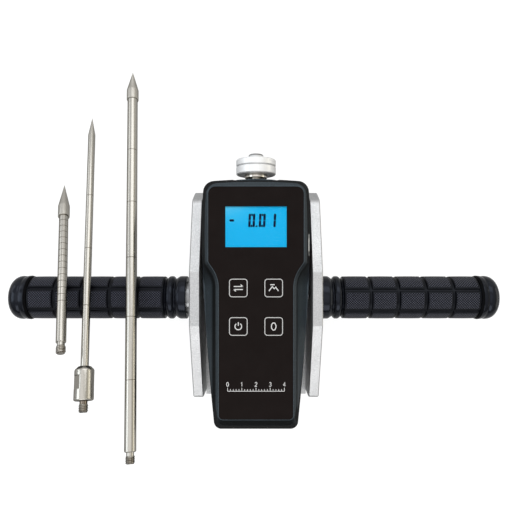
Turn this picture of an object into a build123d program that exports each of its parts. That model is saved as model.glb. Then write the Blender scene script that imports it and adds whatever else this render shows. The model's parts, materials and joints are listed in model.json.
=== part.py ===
"""Hand-held soil bearing capacity tester with its three screw-on probes.

The gauge lies on the back plate of its alloy frame. X runs along the two handles, Y towards the
sensor end of the gauge, Z out of the display. The origin is on the rear face of the back plate,
under the handle axis. The probes lean over the left grip with their tips on the table.
All sizes are in millimetres.
"""

import os
from math import asin, atan, atan2, cos, hypot, radians, sin, tan

from build123d import *

os.makedirs("parts", exist_ok=True)

# Clearances
fit = 0.1  # between a pin, screw or tongue and the hole that holds it, on the radius
drop_in = 0.2  # around a piece that drops into a pocket
running = 0.1  # between faces that move past each other
thread_fit = 0.05  # between a thread and its bore, on the radius
lie_gap = 0.3  # between a probe and what it lies on

# Screw heads and holes
sink_angle = 90.0
hex_share = 0.36  # corner radius of a hexagon drive over its shank diameter
cross_share = 0.25  # slot width of a cross drive over its shank diameter
tap_run = 1.0  # of a tapped hole past the end of its screw

# Alloy frame: a back plate between two cheeks with faceted front edges
frame_gap = 73.4
cheek_thick = 7.3
plate_thick = 6.0
frame_top = 74.3
frame_bottom = 70.5
plate_overhang = 2.2
cheek_height = 48.0
cheek_flat = 35.4
cheek_low_end = 24.5
cheek_top_slope_y = 67.5
cheek_top_slope_z = 31.5
cheek_top_end = 16.0
cheek_top_round = 8.0
cheek_low_round = 2.5
cheek_chamfer = 0.7
frame_screw_d = 3.0
frame_screw_head_d = 5.4
frame_screw_length = 16.0
frame_screw_reach = 52.0

# Handles: a bar bolted to each cheek, with a rubber grip pushed over it
handle_z = 28.0
bar_d = 22.0
bar_length = 116.0
bar_edge = 0.4
bolt_d = 8.0
bolt_head_d = 14.2
bolt_length = 32.0
grip_length = 120.3
grip_pad_d = 29.2
grip_ring_d = 29.5
grip_flange_d = 30.2
grip_cap_d = 29.8
grip_valley_d = 25.6
grip_end_wall = 4.0
grip_end_round = 6.5
grip_gap_right = 0.3
grip_gap_left = 3.2
grip_turn_right = 6.5
grip_turn_left = -1.5
neck_ring_1 = 5.2
neck_valley_1 = 8.0
neck_ring_2 = 9.5
neck_ring_2_end = 12.1
neck_valley_2 = 14.3
pad_start = 15.2
pad_length = 18.5
pad_segments = 5
pad_rows = 6
pad_groove = 1.8
pad_groove_depth = 0.9
flange_gap = 0.6
flange_band = 1.8
flange_ring = 2.2
flange_dip = 2.3
flange_dip_depth = 0.4

# Gauge case
case_top = 79.3
case_bottom = 86.2
case_back_z = 21.0
seam_z = 44.0
front_z = 59.0
case_half_top = 34.6
case_half_max = 36.0
case_max_y = 36.0
case_half_waist = 34.4
case_waist_y = 0.6
case_half_low = 31.75
case_low_y = -40.0
case_half_bottom = 27.5
crown_radius = 370.0
case_corner_top = 7.5
case_corner_bottom = 5.0
front_draft = 14.0
front_draft_top = 16.5
front_draft_bottom = 27.0
rear_draft = 5.0
back_round = 3.0
case_floor = 3.0
front_wall = 2.0
seam_groove = 0.5
seam_groove_depth = 0.4

# Front panel and the bevelled lip around it
panel_top = 72.1
panel_bottom = 75.4
panel_half = 30.2
panel_half_low = 23.5
panel_shoulder_y = 24.3
panel_knee_y = 14.7
panel_corner_top = 4.5
panel_shoulder_r = 3.0
panel_knee_r = 22.0
panel_corner_bottom = 2.5
panel_thick = 0.8
panel_sink = 0.2
lip_width = 0.4
bevel_angle = 52.0
bevel_depth = 8.0
pocket_inset = 2.0

# Finger scoops along both lower flanks
ridge_offset = 2.3
scoop_width = 8.6
scoop_hollow = 2.4
scoop_reach = 13.0
scoop_run = 26.0
ridge_round = 0.6

# Display
window_width = 39.1
window_height = 26.0
window_y = 46.8
window_ledge = 1.0
window_thick = 1.2
glass_margin = 2.6
glass_thick = 2.7
glass_gap = 0.3
backlight_inset = 1.0
backlight_thick = 2.8

# Keys
key_size = 12.2
key_corner = 2.0
key_x = 11.2
key_upper_y = 7.9
key_lower_y = -16.45
key_proud = 0.3
key_travel = 0.5
key_flange = 1.0
key_flange_thick = 0.8
key_stem_d = 4.0

# Circuit board
board_thick = 1.6
board_inset = 3.5
board_bottom = -31.0
post_d = 5.0
post_x_upper = 23.5
post_y_upper = 65.6
post_x_lower = 16.5
post_y_lower = -27.6
board_screw_d = 2.5
board_screw_head_d = 4.5
board_screw_head = 1.6
board_screw_grip = 4.0
switch_size = 6.0
switch_height = 3.0
plunger_d = 3.5
plunger_height = 0.5

# Data socket in the right flank
port_length = 13.8
port_height = 6.0
port_y = 35.6
port_z = 49.0
port_depth = 8.9
port_sink = 0.2
port_slot_length = 8.4
port_slot_height = 2.4
port_slot_depth = 6.2

# Load path: probe socket, lock disc, stud, load cell and its bracket
sensor_z = 40.0
collar_width = 32.5
collar_height = 20.0
collar_seat = 76.5
collar_top = 78.3
collar_edge = 0.4
collar_boss_d = 18.0
collar_boss = 0.6
collar_bore_d = 10.4
stud_d = 8.4
stud_hub_d = 15.0
stud_hub_y = 80.2
stud_hub_edge = 0.4
stud_thread_d = 8.0
stud_top_y = 89.8
disc_d = 26.5
disc_bottom = 82.6
disc_seam = 88.2
disc_top = 92.7
socket_d = 9.9
socket_top = 96.35
disc_edge = 0.6
disc_recess = 2.5
probe_thread_d = 6.0
cell_thread_d = 8.0
cell_thread_depth = 10.0
cell_width = 38.0
cell_thick = 13.0
cell_bottom = 24.0
cell_top = 69.5
cell_slot = 1.6
cell_slot_wall = 7.0
cell_arm = 11.0
cell_hole_d = 14.0
bracket_width = 44.0
bracket_base = 3.0
bracket_wall = 6.0
bracket_reach = 66.0
cell_bolt_head_d = 13.0
cell_bolt_head = 7.0
cell_bolt_length = 16.0

# Standoffs that carry the case on the back plate
standoff_d = 9.0
standoff_x = 18.0
standoff_y_upper = 60.0
standoff_y_lower = 31.0
standoff_stud_d = 4.0
standoff_screw_length = 14.0
standoff_screw_head_d = 8.0

# Batteries and their cover
cell_count = 4
battery_d = 10.5
battery_length = 44.5
battery_pitch = 10.8
battery_top_y = -22.0
battery_nub_d = 3.8
battery_nub = 0.9
contact_thick = 0.5
contact_width = 9.0
contact_height = 8.0
compartment_gap = 0.4
cover_thick = 2.0
cover_half = 23.5
cover_top_y = -15.0
cover_end_inset = 3.4
tongue_width = 1.0
tongue_thick = 0.8
cover_rib = 0.5
cover_rib_width = 1.2
cover_rib_length = 24.0
cover_rib_pitch = 3.0
cover_rib_count = 4

# Case screws
case_screw_d = 2.5
case_screw_head_d = 4.4
case_screw_head = 2.2
case_screw_seat = 27.0
case_screw_length = 23.0
case_screw_x_upper = 24.0
case_screw_y_upper = 74.0
case_screw_x_middle = 24.4
case_screw_y_middle = -8.0
case_screw_y_lower = -77.5

# Probes, measured along each from its tip
mark_depth = 0.15
mark_width = 0.5
thread_neck_d = 4.7
thread_neck = 2.0
spigot_d = 4.0
spigot_length = 8.0

long_tip_x = -92.4
long_tip_y = 166.9
long_heading = 3.6
long_length = 275.0
long_d = 7.25
long_cone_d = 8.5
long_cone = 15.8
long_cone_end = 23.8
long_thread = 6.7
long_first_mark = 65.6
long_mark_pitch = 40.0
long_plain = 4.0

needle_tip_x = -122.8
needle_tip_y = 132.8
needle_heading = 4.9
needle_length = 213.0
needle_d = 5.0
needle_cone = 15.0
needle_thread = 7.0
needle_first_mark = 65.5
needle_mark_pitch = 40.0
needle_plain = 0.5
adapter_d = 12.0
adapter_length = 21.0
adapter_flat = 10.0
adapter_flat_start = 5.5
adapter_flat_length = 8.6
adapter_turn = 42.0
adapter_chamfer = 2.2
adapter_edge = 0.6
needle_seat = 10.5

short_tip_x = -143.7
short_tip_y = 82.5
short_heading = 11.6
short_length = 135.0
short_d = 6.25
short_cone_d = 8.0
short_cone = 20.4
short_cone_end = 29.9
short_thread = 7.0
short_first_mark = 34.5
short_mark_pitch = 5.0
short_plain = 28.0

# Levels that follow from the sizes above
cheek_in = frame_gap / 2
cheek_out = cheek_in + cheek_thick
panel_floor_z = front_z - panel_sink - panel_thick
panel_face_z = front_z - panel_sink
front_pocket_z = panel_floor_z - front_wall
glass_top_z = front_pocket_z - glass_gap
glass_bottom_z = glass_top_z - glass_thick
board_top_z = glass_bottom_z - backlight_thick
board_bottom_z = board_top_z - board_thick
rear_floor_z = case_back_z + case_floor
bracket_top_z = rear_floor_z + bracket_base
front_rise = front_z - seam_z
rear_drop = seam_z - case_back_z
battery_z = case_back_z + cover_thick + drop_in + compartment_gap + battery_d / 2
compartment_top_z = battery_z + battery_d / 2 + compartment_gap
tray_top_z = compartment_top_z + front_wall
battery_bottom_y = battery_top_y - battery_length - battery_nub
compartment_top_y = battery_top_y + contact_thick
compartment_bottom_y = battery_bottom_y - contact_thick
compartment_half = ((cell_count - 1) * battery_pitch + battery_d) / 2 + compartment_gap
cover_end_y = -case_bottom + cover_end_inset
cut_span = 2 * (case_top + case_bottom)  # side of a cutter that runs past every edge of the case

ridge_x = panel_half_low + ridge_offset
knee_turn = atan((panel_half - panel_half_low) / (panel_shoulder_y - panel_knee_y))
ridge_knee_y = panel_knee_y - ridge_offset * tan(knee_turn / 2)
ridge_z = front_z - (ridge_offset - lip_width) / tan(radians(bevel_angle))

key_places = [
    ("unit_key", -key_x, key_upper_y),
    ("peak_key", key_x, key_upper_y),
    ("power_key", -key_x, key_lower_y),
    ("zero_key", key_x, key_lower_y),
]
standoff_places = [
    (-standoff_x, standoff_y_lower),
    (standoff_x, standoff_y_lower),
    (-standoff_x, standoff_y_upper),
    (standoff_x, standoff_y_upper),
]
post_places = [
    (-post_x_upper, post_y_upper),
    (post_x_upper, post_y_upper),
    (-post_x_lower, post_y_lower),
    (post_x_lower, post_y_lower),
]
case_screw_places = [
    (-case_screw_x_upper, case_screw_y_upper),
    (case_screw_x_upper, case_screw_y_upper),
    (-case_screw_x_middle, case_screw_y_middle),
    (case_screw_x_middle, case_screw_y_middle),
    (0, case_screw_y_lower),
]
battery_places = [(i - (cell_count - 1) / 2) * battery_pitch for i in range(cell_count)]


def save(piece, name):
    piece.part.label = name
    export_step(piece.part, f"parts/{name}.step")


def level(z):
    return Plane.XY.offset(z)


# Outlines

def case_outline(z, side_inset, top_inset, bottom_inset):
    """Outline of the case at a height, drawn in from its widest outline at the seam."""
    top = case_top - top_inset
    bottom = -case_bottom + bottom_inset
    with BuildSketch(level(z)) as outline:
        with BuildLine():
            upper = ThreePointArc(
                (case_half_top - side_inset, case_top),
                (case_half_max - side_inset, case_max_y),
                (case_half_waist - side_inset, case_waist_y),
            )
            lower = ThreePointArc(
                upper @ 1,
                (case_half_low - side_inset, case_low_y),
                (case_half_bottom - side_inset, bottom),
            )
            Line(lower @ 1, (0, bottom))
            Line((0, case_top), upper @ 0)
            mirror(about=Plane.YZ)
        make_face()
        with Locations((0, top - crown_radius)):
            Circle(crown_radius, mode=Mode.INTERSECT)
        fillet(outline.vertices().sort_by(Axis.Y)[-2:], case_corner_top)
        fillet(outline.vertices().sort_by(Axis.Y)[:2], case_corner_bottom)
    return outline.sketch


def panel_outline(z, grow):
    """Front panel outline, wide at the display and narrow between the finger scoops."""
    with BuildSketch(level(z)) as outline:
        with BuildLine():
            FilletPolyline(
                (0, panel_top),
                (panel_half, panel_top),
                (panel_half, panel_shoulder_y),
                (panel_half_low, panel_knee_y),
                (panel_half_low, -panel_bottom),
                (0, -panel_bottom),
                radius=[panel_corner_top, panel_shoulder_r, panel_knee_r, panel_corner_bottom],
            )
            mirror(about=Plane.YZ)
        make_face()
        if grow:
            offset(amount=grow)
    return outline.sketch


# Alloy frame

with BuildPart() as right_cheek:
    with BuildSketch(Plane.YZ.offset(cheek_in)) as cheek_side:
        with BuildLine():
            Polyline(
                (-frame_bottom, 0),
                (frame_top, 0),
                (frame_top, cheek_top_end),
                (cheek_top_slope_y, cheek_top_slope_z),
                (cheek_flat / 2, cheek_height),
                (-cheek_flat / 2, cheek_height),
                (-frame_bottom, cheek_low_end),
                close=True,
            )
        make_face()
        top_corner = cheek_side.vertices().sort_by_distance((cheek_top_slope_y, cheek_top_slope_z))[0]
        fillet(top_corner, cheek_top_round)
        low_corner = cheek_side.vertices().sort_by_distance((-frame_bottom, cheek_low_end))[0]
        fillet(low_corner, cheek_low_round)
    extrude(amount=cheek_thick)
    rims = right_cheek.faces().filter_by(Axis.X).edges()
    chamfer(rims.filter_by(lambda edge: edge.center().Z > plate_thick), cheek_chamfer)
    with Locations(Plane(origin=(cheek_in, 0, handle_z), x_dir=(0, 1, 0), z_dir=(-1, 0, 0))):
        CounterSinkHole(bolt_d / 2 + fit, bolt_head_d / 2 + fit, counter_sink_angle=sink_angle)
    with Locations(Plane(origin=(cheek_out, 0, plate_thick / 2), x_dir=(0, 1, 0), z_dir=(1, 0, 0))):
        with Locations((-frame_screw_reach, 0), (frame_screw_reach, 0)):
            CounterSinkHole(
                frame_screw_d / 2 + fit, frame_screw_head_d / 2 + fit, counter_sink_angle=sink_angle
            )
save(right_cheek, "right_cheek")

with BuildPart() as left_cheek:
    mirror(right_cheek.part, about=Plane.YZ)
save(left_cheek, "left_cheek")

with BuildPart() as back_plate:
    with BuildSketch():
        with Locations((0, (frame_top - frame_bottom - plate_overhang) / 2)):
            Rectangle(frame_gap, frame_top + frame_bottom + plate_overhang)
    extrude(amount=plate_thick)
    with Locations(Plane(origin=(0, 0, 0), x_dir=(1, 0, 0), z_dir=(0, 0, -1))):
        with Locations(*[(x, -y) for x, y in standoff_places]):
            CounterSinkHole(
                standoff_stud_d / 2 + fit, standoff_screw_head_d / 2 + fit, counter_sink_angle=sink_angle
            )
    for side in (-1, 1):
        face = Plane(origin=(side * cheek_in, 0, plate_thick / 2), x_dir=(0, 1, 0), z_dir=(side, 0, 0))
        with Locations(face):
            with Locations((-frame_screw_reach, 0), (frame_screw_reach, 0)):
                Hole(frame_screw_d / 2 + fit, depth=frame_screw_length - cheek_thick + running)
save(back_plate, "back_plate")


def flat_head_screw(face, head_d, shank_d, length):
    """Countersunk screw whose head is flush with a face; the plane's normal points out of the head."""
    head = (head_d - shank_d) / 2 / tan(radians(sink_angle / 2))
    with BuildPart() as screw:
        with BuildSketch(face):
            Circle(head_d / 2)
        extrude(amount=-head, taper=sink_angle / 2)
        with BuildSketch(face):
            Circle(shank_d / 2)
        extrude(amount=-length)
        with BuildSketch(face):
            RegularPolygon(shank_d * hex_share, 6)
        extrude(amount=-head, mode=Mode.SUBTRACT)
    return screw.part


with BuildPart() as frame_screws:
    for side in (-1, 1):
        for y in (-frame_screw_reach, frame_screw_reach):
            place = Plane(origin=(side * cheek_out, y, plate_thick / 2), x_dir=(0, 1, 0), z_dir=(side, 0, 0))
            add(flat_head_screw(place, frame_screw_head_d, frame_screw_d, frame_screw_length))
save(frame_screws, "frame_screws")

with BuildPart() as handle_bolts:
    for side in (-1, 1):
        place = Plane(origin=(side * cheek_in, 0, handle_z), x_dir=(0, 1, 0), z_dir=(-side, 0, 0))
        add(flat_head_screw(place, bolt_head_d, bolt_d, bolt_length))
save(handle_bolts, "handle_bolts")


# Handles

def handle_bar(side):
    """Bar that stands on the outer face of a cheek, tapped for the handle bolt."""
    foot = Plane(origin=(side * cheek_out, 0, handle_z), x_dir=(0, 1, 0), z_dir=(side, 0, 0))
    with BuildPart() as bar:
        with BuildSketch(foot):
            Circle(bar_d / 2)
        extrude(amount=bar_length)
        chamfer(bar.edges(), bar_edge)
        with BuildSketch(foot):
            Circle(bolt_d / 2 + fit)
        extrude(amount=bolt_length - cheek_thick + tap_run, mode=Mode.SUBTRACT)
    return bar


def handle_grip(side, gap, turn):
    """Rubber grip: two neck rings, five rings of pads in six rows, a flange ring and a rounded end cap."""
    start = cheek_out + gap
    pad_end = pad_start + pad_length * pad_segments
    band_start = pad_end - pad_groove + flange_gap
    ring_start = band_start + flange_band
    ring_end = ring_start + flange_ring
    cap_start = ring_end + flange_dip
    bore_r = bar_d / 2 + fit
    pad_r = grip_pad_d / 2
    ring_r = grip_ring_d / 2
    valley_r = grip_valley_d / 2
    flange_r = grip_flange_d / 2
    cap_r = grip_cap_d / 2
    groove_r = pad_r - pad_groove_depth
    section = Plane(origin=(side * start, 0, handle_z), x_dir=(side, 0, 0), z_dir=(0, -side, 0))
    with BuildPart() as grip:
        with BuildSketch(section):
            with BuildLine():
                points = [
                    (0, bore_r),
                    (0, ring_r),
                    (neck_ring_1, ring_r),
                    (neck_valley_1, valley_r),
                    (neck_ring_2, ring_r),
                    (neck_ring_2_end, ring_r),
                    (neck_valley_2, valley_r),
                ]
                for i in range(pad_segments):
                    near = pad_start + i * pad_length
                    far = near + pad_length
                    points += [(near, groove_r), (near, pad_r), (far - pad_groove, pad_r)]
                    points += [(far - pad_groove, groove_r)]
                points += [
                    (band_start, groove_r),
                    (band_start, pad_r),
                    (ring_start, flange_r),
                    (ring_end, cap_r),
                    (ring_end + flange_dip / 2, cap_r - flange_dip_depth),
                    (cap_start, cap_r),
                ]
                outer = Polyline(*points)
                cap = Line(outer @ 1, (grip_length - grip_end_round, cap_r))
                corner = RadiusArc(cap @ 1, (grip_length, cap_r - grip_end_round), grip_end_round)
                Polyline(
                    corner @ 1,
                    (grip_length, 0),
                    (grip_length - grip_end_wall, 0),
                    (grip_length - grip_end_wall, bore_r),
                    (0, bore_r),
                )
            make_face()
        revolve(axis=Axis((0, 0, handle_z), (1, 0, 0)))
        ring = Plane(origin=(side * (start + pad_start), 0, handle_z), x_dir=(0, 0, 1), z_dir=(side, 0, 0))
        with BuildSketch(ring):
            with PolarLocations(pad_r, pad_rows, start_angle=turn + 180 / pad_rows):
                Rectangle(2 * pad_groove_depth, pad_groove)
        extrude(amount=pad_length * pad_segments - pad_groove, mode=Mode.SUBTRACT)
    return grip


for side, name in ((-1, "left_bar"), (1, "right_bar")):
    save(handle_bar(side), name)
save(handle_grip(-1, grip_gap_left, grip_turn_left), "left_grip")
save(handle_grip(1, grip_gap_right, grip_turn_right), "right_grip")

# Gauge case, front half

seam_outline = case_outline(seam_z, 0, 0, 0)

with BuildPart() as bevel_limit:
    loft(
        sections=[
            panel_outline(front_z, lip_width),
            panel_outline(front_z - bevel_depth, lip_width + bevel_depth * tan(radians(bevel_angle))),
        ],
        ruled=True,
    )
    with BuildSketch(level(front_z - bevel_depth)):
        Rectangle(cut_span, cut_span)
    extrude(amount=-front_rise)

with BuildPart() as scoops:
    with BuildLine() as flank:
        FilletPolyline(
            (ridge_x, -case_bottom - scoop_reach),
            (ridge_x, ridge_knee_y),
            (ridge_x + scoop_run, ridge_knee_y + scoop_run / tan(knee_turn)),
            radius=panel_knee_r - ridge_offset,
        )
    with BuildSketch(Plane.XZ.offset(case_bottom + scoop_reach)):
        with BuildLine():
            hollow = SagittaArc((ridge_x, ridge_z), (ridge_x + scoop_width, seam_z), -scoop_hollow)
            Polyline(
                hollow @ 1,
                (ridge_x + scoop_reach, seam_z),
                (ridge_x + scoop_reach, front_z + running),
                (ridge_x, front_z + running),
                hollow @ 0,
            )
        make_face()
    sweep(path=flank.line)
    mirror(about=Plane.YZ)

with BuildPart() as sensor_opening:
    with BuildSketch(Plane.XZ.offset(-collar_seat)):
        with Locations((0, sensor_z)):
            SlotOverall(collar_width + 2 * drop_in, collar_height + 2 * drop_in)
    extrude(amount=-cut_span)
    with BuildSketch(Plane.XZ.offset(-cell_top + bracket_wall)):
        with Locations((0, sensor_z)):
            Circle(collar_bore_d / 2)
    extrude(amount=-cut_span)

with BuildPart() as port_opening:
    with Locations((case_half_max, port_y, port_z)):
        Box(2 * port_depth, port_length + 2 * drop_in, port_height + 2 * drop_in)

with BuildPart() as seam_line:
    with BuildSketch(level(seam_z - seam_groove / 2)):
        add(seam_outline)
        offset(amount=-seam_groove_depth, mode=Mode.SUBTRACT)
    extrude(amount=seam_groove)

with BuildPart() as front_shell:
    loft(
        sections=[
            seam_outline,
            case_outline(
                front_z,
                front_rise * tan(radians(front_draft)),
                front_rise * tan(radians(front_draft_top)),
                front_rise * tan(radians(front_draft_bottom)),
            ),
        ],
        ruled=True,
    )
    add(bevel_limit.part, mode=Mode.INTERSECT)
    add(scoops.part, mode=Mode.SUBTRACT)
    ridges = front_shell.edges().filter_by_position(Axis.Z, ridge_z - fit, ridge_z + fit)
    fillet(ridges.filter_by(lambda edge: edge.bounding_box().size.Z < fit), ridge_round)
    extrude(panel_outline(panel_floor_z, running), amount=front_rise, mode=Mode.SUBTRACT)
    extrude(panel_outline(seam_z, -pocket_inset), amount=front_pocket_z - seam_z, mode=Mode.SUBTRACT)
    with BuildSketch(level(panel_floor_z - window_thick)):
        with Locations((0, window_y)):
            Rectangle(
                window_width + 2 * (window_ledge + drop_in), window_height + 2 * (window_ledge + drop_in)
            )
    extrude(amount=window_thick, mode=Mode.SUBTRACT)
    with BuildSketch(level(front_pocket_z)):
        with Locations((0, window_y)):
            Rectangle(window_width, window_height)
        with Locations(*[(x, y) for name, x, y in key_places]):
            RectangleRounded(key_size + 2 * drop_in, key_size + 2 * drop_in, key_corner + drop_in)
    extrude(amount=front_wall, mode=Mode.SUBTRACT)
    with BuildSketch(level(board_top_z)):
        with Locations(*post_places):
            Circle(post_d / 2)
    extrude(amount=front_pocket_z - board_top_z)
    with BuildSketch(level(board_top_z)):
        with Locations(*post_places):
            Circle(board_screw_d / 2 + fit)
    extrude(amount=board_screw_grip + running, mode=Mode.SUBTRACT)
    with BuildSketch(level(seam_z)):
        with Locations(*case_screw_places):
            Circle(case_screw_d / 2 + fit)
    extrude(amount=case_screw_seat + case_screw_length - seam_z + running, mode=Mode.SUBTRACT)
    add(sensor_opening.part, mode=Mode.SUBTRACT)
    add(port_opening.part, mode=Mode.SUBTRACT)
    add(seam_line.part, mode=Mode.SUBTRACT)
save(front_shell, "front_shell")

# Gauge case, rear half with the battery tray

with BuildPart() as rear_shell:
    rear_inset = rear_drop * tan(radians(rear_draft))
    loft(
        sections=[seam_outline, case_outline(case_back_z, rear_inset, rear_inset, rear_inset)],
        ruled=True,
    )
    fillet(rear_shell.faces().sort_by(Axis.Z)[0].edges(), back_round)
    with BuildSketch(level(rear_floor_z)):
        add(panel_outline(rear_floor_z, -pocket_inset))
        with Locations((0, cover_top_y + front_wall)):
            Rectangle(cut_span, cut_span, align=(Align.CENTER, Align.MIN), mode=Mode.INTERSECT)
    extrude(amount=seam_z - rear_floor_z, mode=Mode.SUBTRACT)
    extrude(panel_outline(tray_top_z, -pocket_inset), amount=seam_z - tray_top_z, mode=Mode.SUBTRACT)
    with BuildSketch(level(case_back_z)):
        with Locations((0, (compartment_top_y + compartment_bottom_y) / 2)):
            Rectangle(2 * compartment_half, compartment_top_y - compartment_bottom_y)
    extrude(amount=compartment_top_z - case_back_z, mode=Mode.SUBTRACT)
    with BuildSketch(level(case_back_z)):
        with Locations((0, cover_top_y)):
            Rectangle(2 * (cover_half + drop_in), cut_span, align=(Align.CENTER, Align.MAX))
    extrude(amount=cover_thick + drop_in, mode=Mode.SUBTRACT)
    with BuildSketch(level(case_back_z + (cover_thick - tongue_thick) / 2 - running)):
        with Locations((0, cover_top_y)):
            Rectangle(2 * (cover_half + tongue_width + drop_in), cut_span, align=(Align.CENTER, Align.MAX))
    extrude(amount=tongue_thick + 2 * running, mode=Mode.SUBTRACT)
    with BuildSketch(level(case_back_z)):
        with Locations(*standoff_places):
            Circle(standoff_stud_d / 2 + fit)
    extrude(amount=case_floor, mode=Mode.SUBTRACT)
    with BuildSketch(level(case_back_z)):
        with Locations(*case_screw_places):
            Circle(case_screw_head_d / 2 + fit)
    extrude(amount=case_screw_seat - case_back_z, mode=Mode.SUBTRACT)
    with BuildSketch(level(case_screw_seat)):
        with Locations(*case_screw_places):
            Circle(case_screw_d / 2 + fit)
    extrude(amount=seam_z - case_screw_seat, mode=Mode.SUBTRACT)
    add(sensor_opening.part, mode=Mode.SUBTRACT)
    add(port_opening.part, mode=Mode.SUBTRACT)
    add(seam_line.part, mode=Mode.SUBTRACT)
save(rear_shell, "rear_shell")


def pan_head_screws(places, seat_z, head_d, head, shank_d, length):
    """Screws driven towards the display, heads seated at a height."""
    with BuildPart() as screws:
        with BuildSketch(level(seat_z - head)):
            with Locations(*places):
                Circle(head_d / 2)
        extrude(amount=head)
        with BuildSketch(level(seat_z)):
            with Locations(*places):
                Circle(shank_d / 2)
        extrude(amount=length)
        with BuildSketch(level(seat_z - head)):
            with Locations(*places):
                Rectangle(shank_d, shank_d * cross_share)
                Rectangle(shank_d * cross_share, shank_d)
        extrude(amount=head / 2, mode=Mode.SUBTRACT)
    return screws


save(
    pan_head_screws(
        case_screw_places,
        case_screw_seat,
        case_screw_head_d,
        case_screw_head,
        case_screw_d,
        case_screw_length,
    ),
    "case_screws",
)

# Front panel, window and keys

with BuildPart() as face_panel:
    extrude(panel_outline(panel_floor_z, 0), amount=panel_thick)
    with BuildSketch(level(panel_floor_z)):
        with Locations((0, window_y)):
            Rectangle(window_width, window_height)
        with Locations(*[(x, y) for name, x, y in key_places]):
            RectangleRounded(key_size + 2 * drop_in, key_size + 2 * drop_in, key_corner + drop_in)
    extrude(amount=panel_thick, mode=Mode.SUBTRACT)
save(face_panel, "face_panel")

with BuildPart() as display_window:
    with BuildSketch(level(panel_floor_z - window_thick)):
        with Locations((0, window_y)):
            Rectangle(window_width + 2 * window_ledge, window_height + 2 * window_ledge)
    extrude(amount=window_thick)
save(display_window, "display_window")


def panel_key(x, y):
    """Key cap with a flange behind the front wall and a stem over its switch."""
    flange_top = front_pocket_z - running
    flange_size = key_size + 2 * (key_flange + drop_in)
    stem_end = board_top_z + switch_height + plunger_height + key_travel + running
    with BuildPart() as key:
        with BuildSketch(level(flange_top)):
            with Locations((x, y)):
                RectangleRounded(key_size, key_size, key_corner)
        extrude(amount=panel_face_z + key_proud - flange_top)
        chamfer(key.faces().sort_by(Axis.Z)[-1].edges(), key_proud / 2)
        with BuildSketch(level(flange_top)):
            with Locations((x, y)):
                RectangleRounded(flange_size, flange_size, key_corner)
        extrude(amount=-key_flange_thick)
        with BuildSketch(level(flange_top)):
            with Locations((x, y)):
                Circle(key_stem_d / 2)
        extrude(amount=stem_end - flange_top)
    return key


for name, x, y in key_places:
    save(panel_key(x, y), name)

# Electronics

with BuildPart() as lcd_glass:
    with BuildSketch(level(glass_bottom_z)):
        with Locations((0, window_y)):
            Rectangle(window_width + 2 * glass_margin, window_height + 2 * glass_margin)
    extrude(amount=glass_thick)
save(lcd_glass, "lcd_glass")

with BuildPart() as backlight:
    with BuildSketch(level(board_top_z)):
        with Locations((0, window_y)):
            Rectangle(
                window_width + 2 * (glass_margin - backlight_inset),
                window_height + 2 * (glass_margin - backlight_inset),
            )
    extrude(amount=backlight_thick)
save(backlight, "backlight")

with BuildPart() as main_board:
    with BuildSketch(level(board_bottom_z)):
        add(panel_outline(board_bottom_z, -board_inset))
        with Locations((0, board_bottom)):
            Rectangle(cut_span, cut_span, align=(Align.CENTER, Align.MIN), mode=Mode.INTERSECT)
        with Locations(*post_places):
            Circle(board_screw_d / 2 + fit, mode=Mode.SUBTRACT)
    extrude(amount=board_thick)
save(main_board, "main_board")

save(
    pan_head_screws(
        post_places,
        board_bottom_z,
        board_screw_head_d,
        board_screw_head,
        board_screw_d,
        board_thick + board_screw_grip,
    ),
    "board_screws",
)

with BuildPart() as key_switches:
    with BuildSketch(level(board_top_z)):
        with Locations(*[(x, y) for name, x, y in key_places]):
            Rectangle(switch_size, switch_size)
    extrude(amount=switch_height)
    with BuildSketch(level(board_top_z + switch_height)):
        with Locations(*[(x, y) for name, x, y in key_places]):
            Circle(plunger_d / 2)
    extrude(amount=plunger_height)
save(key_switches, "key_switches")

with BuildPart() as data_port:
    flank_x = case_half_max - (port_z - seam_z) * tan(radians(front_draft))
    flank_way = (cos(radians(front_draft)), 0, sin(radians(front_draft)))
    flank_face = Plane(origin=(flank_x, port_y, port_z), z_dir=flank_way)
    with Locations((case_half_max, port_y, port_z)):
        Box(2 * port_depth, port_length, port_height)
        Box(2 * port_slot_depth, port_slot_length, port_slot_height, mode=Mode.SUBTRACT)
    split(bisect_by=flank_face.offset(-port_sink), keep=Keep.BOTTOM)
save(data_port, "data_port")

# Load path

with BuildPart() as top_collar:
    with BuildSketch(Plane.XZ.offset(-collar_seat)):
        with Locations((0, sensor_z)):
            SlotOverall(collar_width, collar_height)
    extrude(amount=-(collar_top - collar_seat))
    chamfer(top_collar.faces().sort_by(Axis.Y)[-1].edges(), collar_edge)
    with BuildSketch(Plane.XZ.offset(-collar_seat)):
        with Locations((0, sensor_z)):
            Circle(collar_boss_d / 2)
    extrude(amount=-(collar_top + collar_boss - collar_seat))
    with BuildSketch(Plane.XZ.offset(-collar_seat)):
        with Locations((0, sensor_z)):
            Circle(collar_bore_d / 2)
    extrude(amount=-(collar_top + collar_boss - collar_seat), mode=Mode.SUBTRACT)
save(top_collar, "top_collar")

sensor_axis = Axis((0, 0, sensor_z), (0, 1, 0))
sensor_section = Plane(origin=(0, 0, sensor_z), x_dir=(1, 0, 0), z_dir=(0, 0, 1))

with BuildPart() as sensor_stud:
    with BuildSketch(sensor_section):
        with BuildLine():
            Polyline(
                (0, cell_top - cell_thread_depth),
                (cell_thread_d / 2, cell_top - cell_thread_depth),
                (cell_thread_d / 2, cell_top),
                (stud_d / 2, cell_top),
                (stud_d / 2, stud_hub_y),
                (stud_hub_d / 2 - stud_hub_edge, stud_hub_y),
                (stud_hub_d / 2, stud_hub_y + stud_hub_edge),
                (stud_hub_d / 2, disc_bottom + disc_recess - running),
                (stud_thread_d / 2, disc_bottom + disc_recess - running),
                (stud_thread_d / 2, stud_top_y),
                (0, stud_top_y),
                close=True,
            )
        make_face()
    revolve(axis=sensor_axis)
save(sensor_stud, "sensor_stud")


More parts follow.
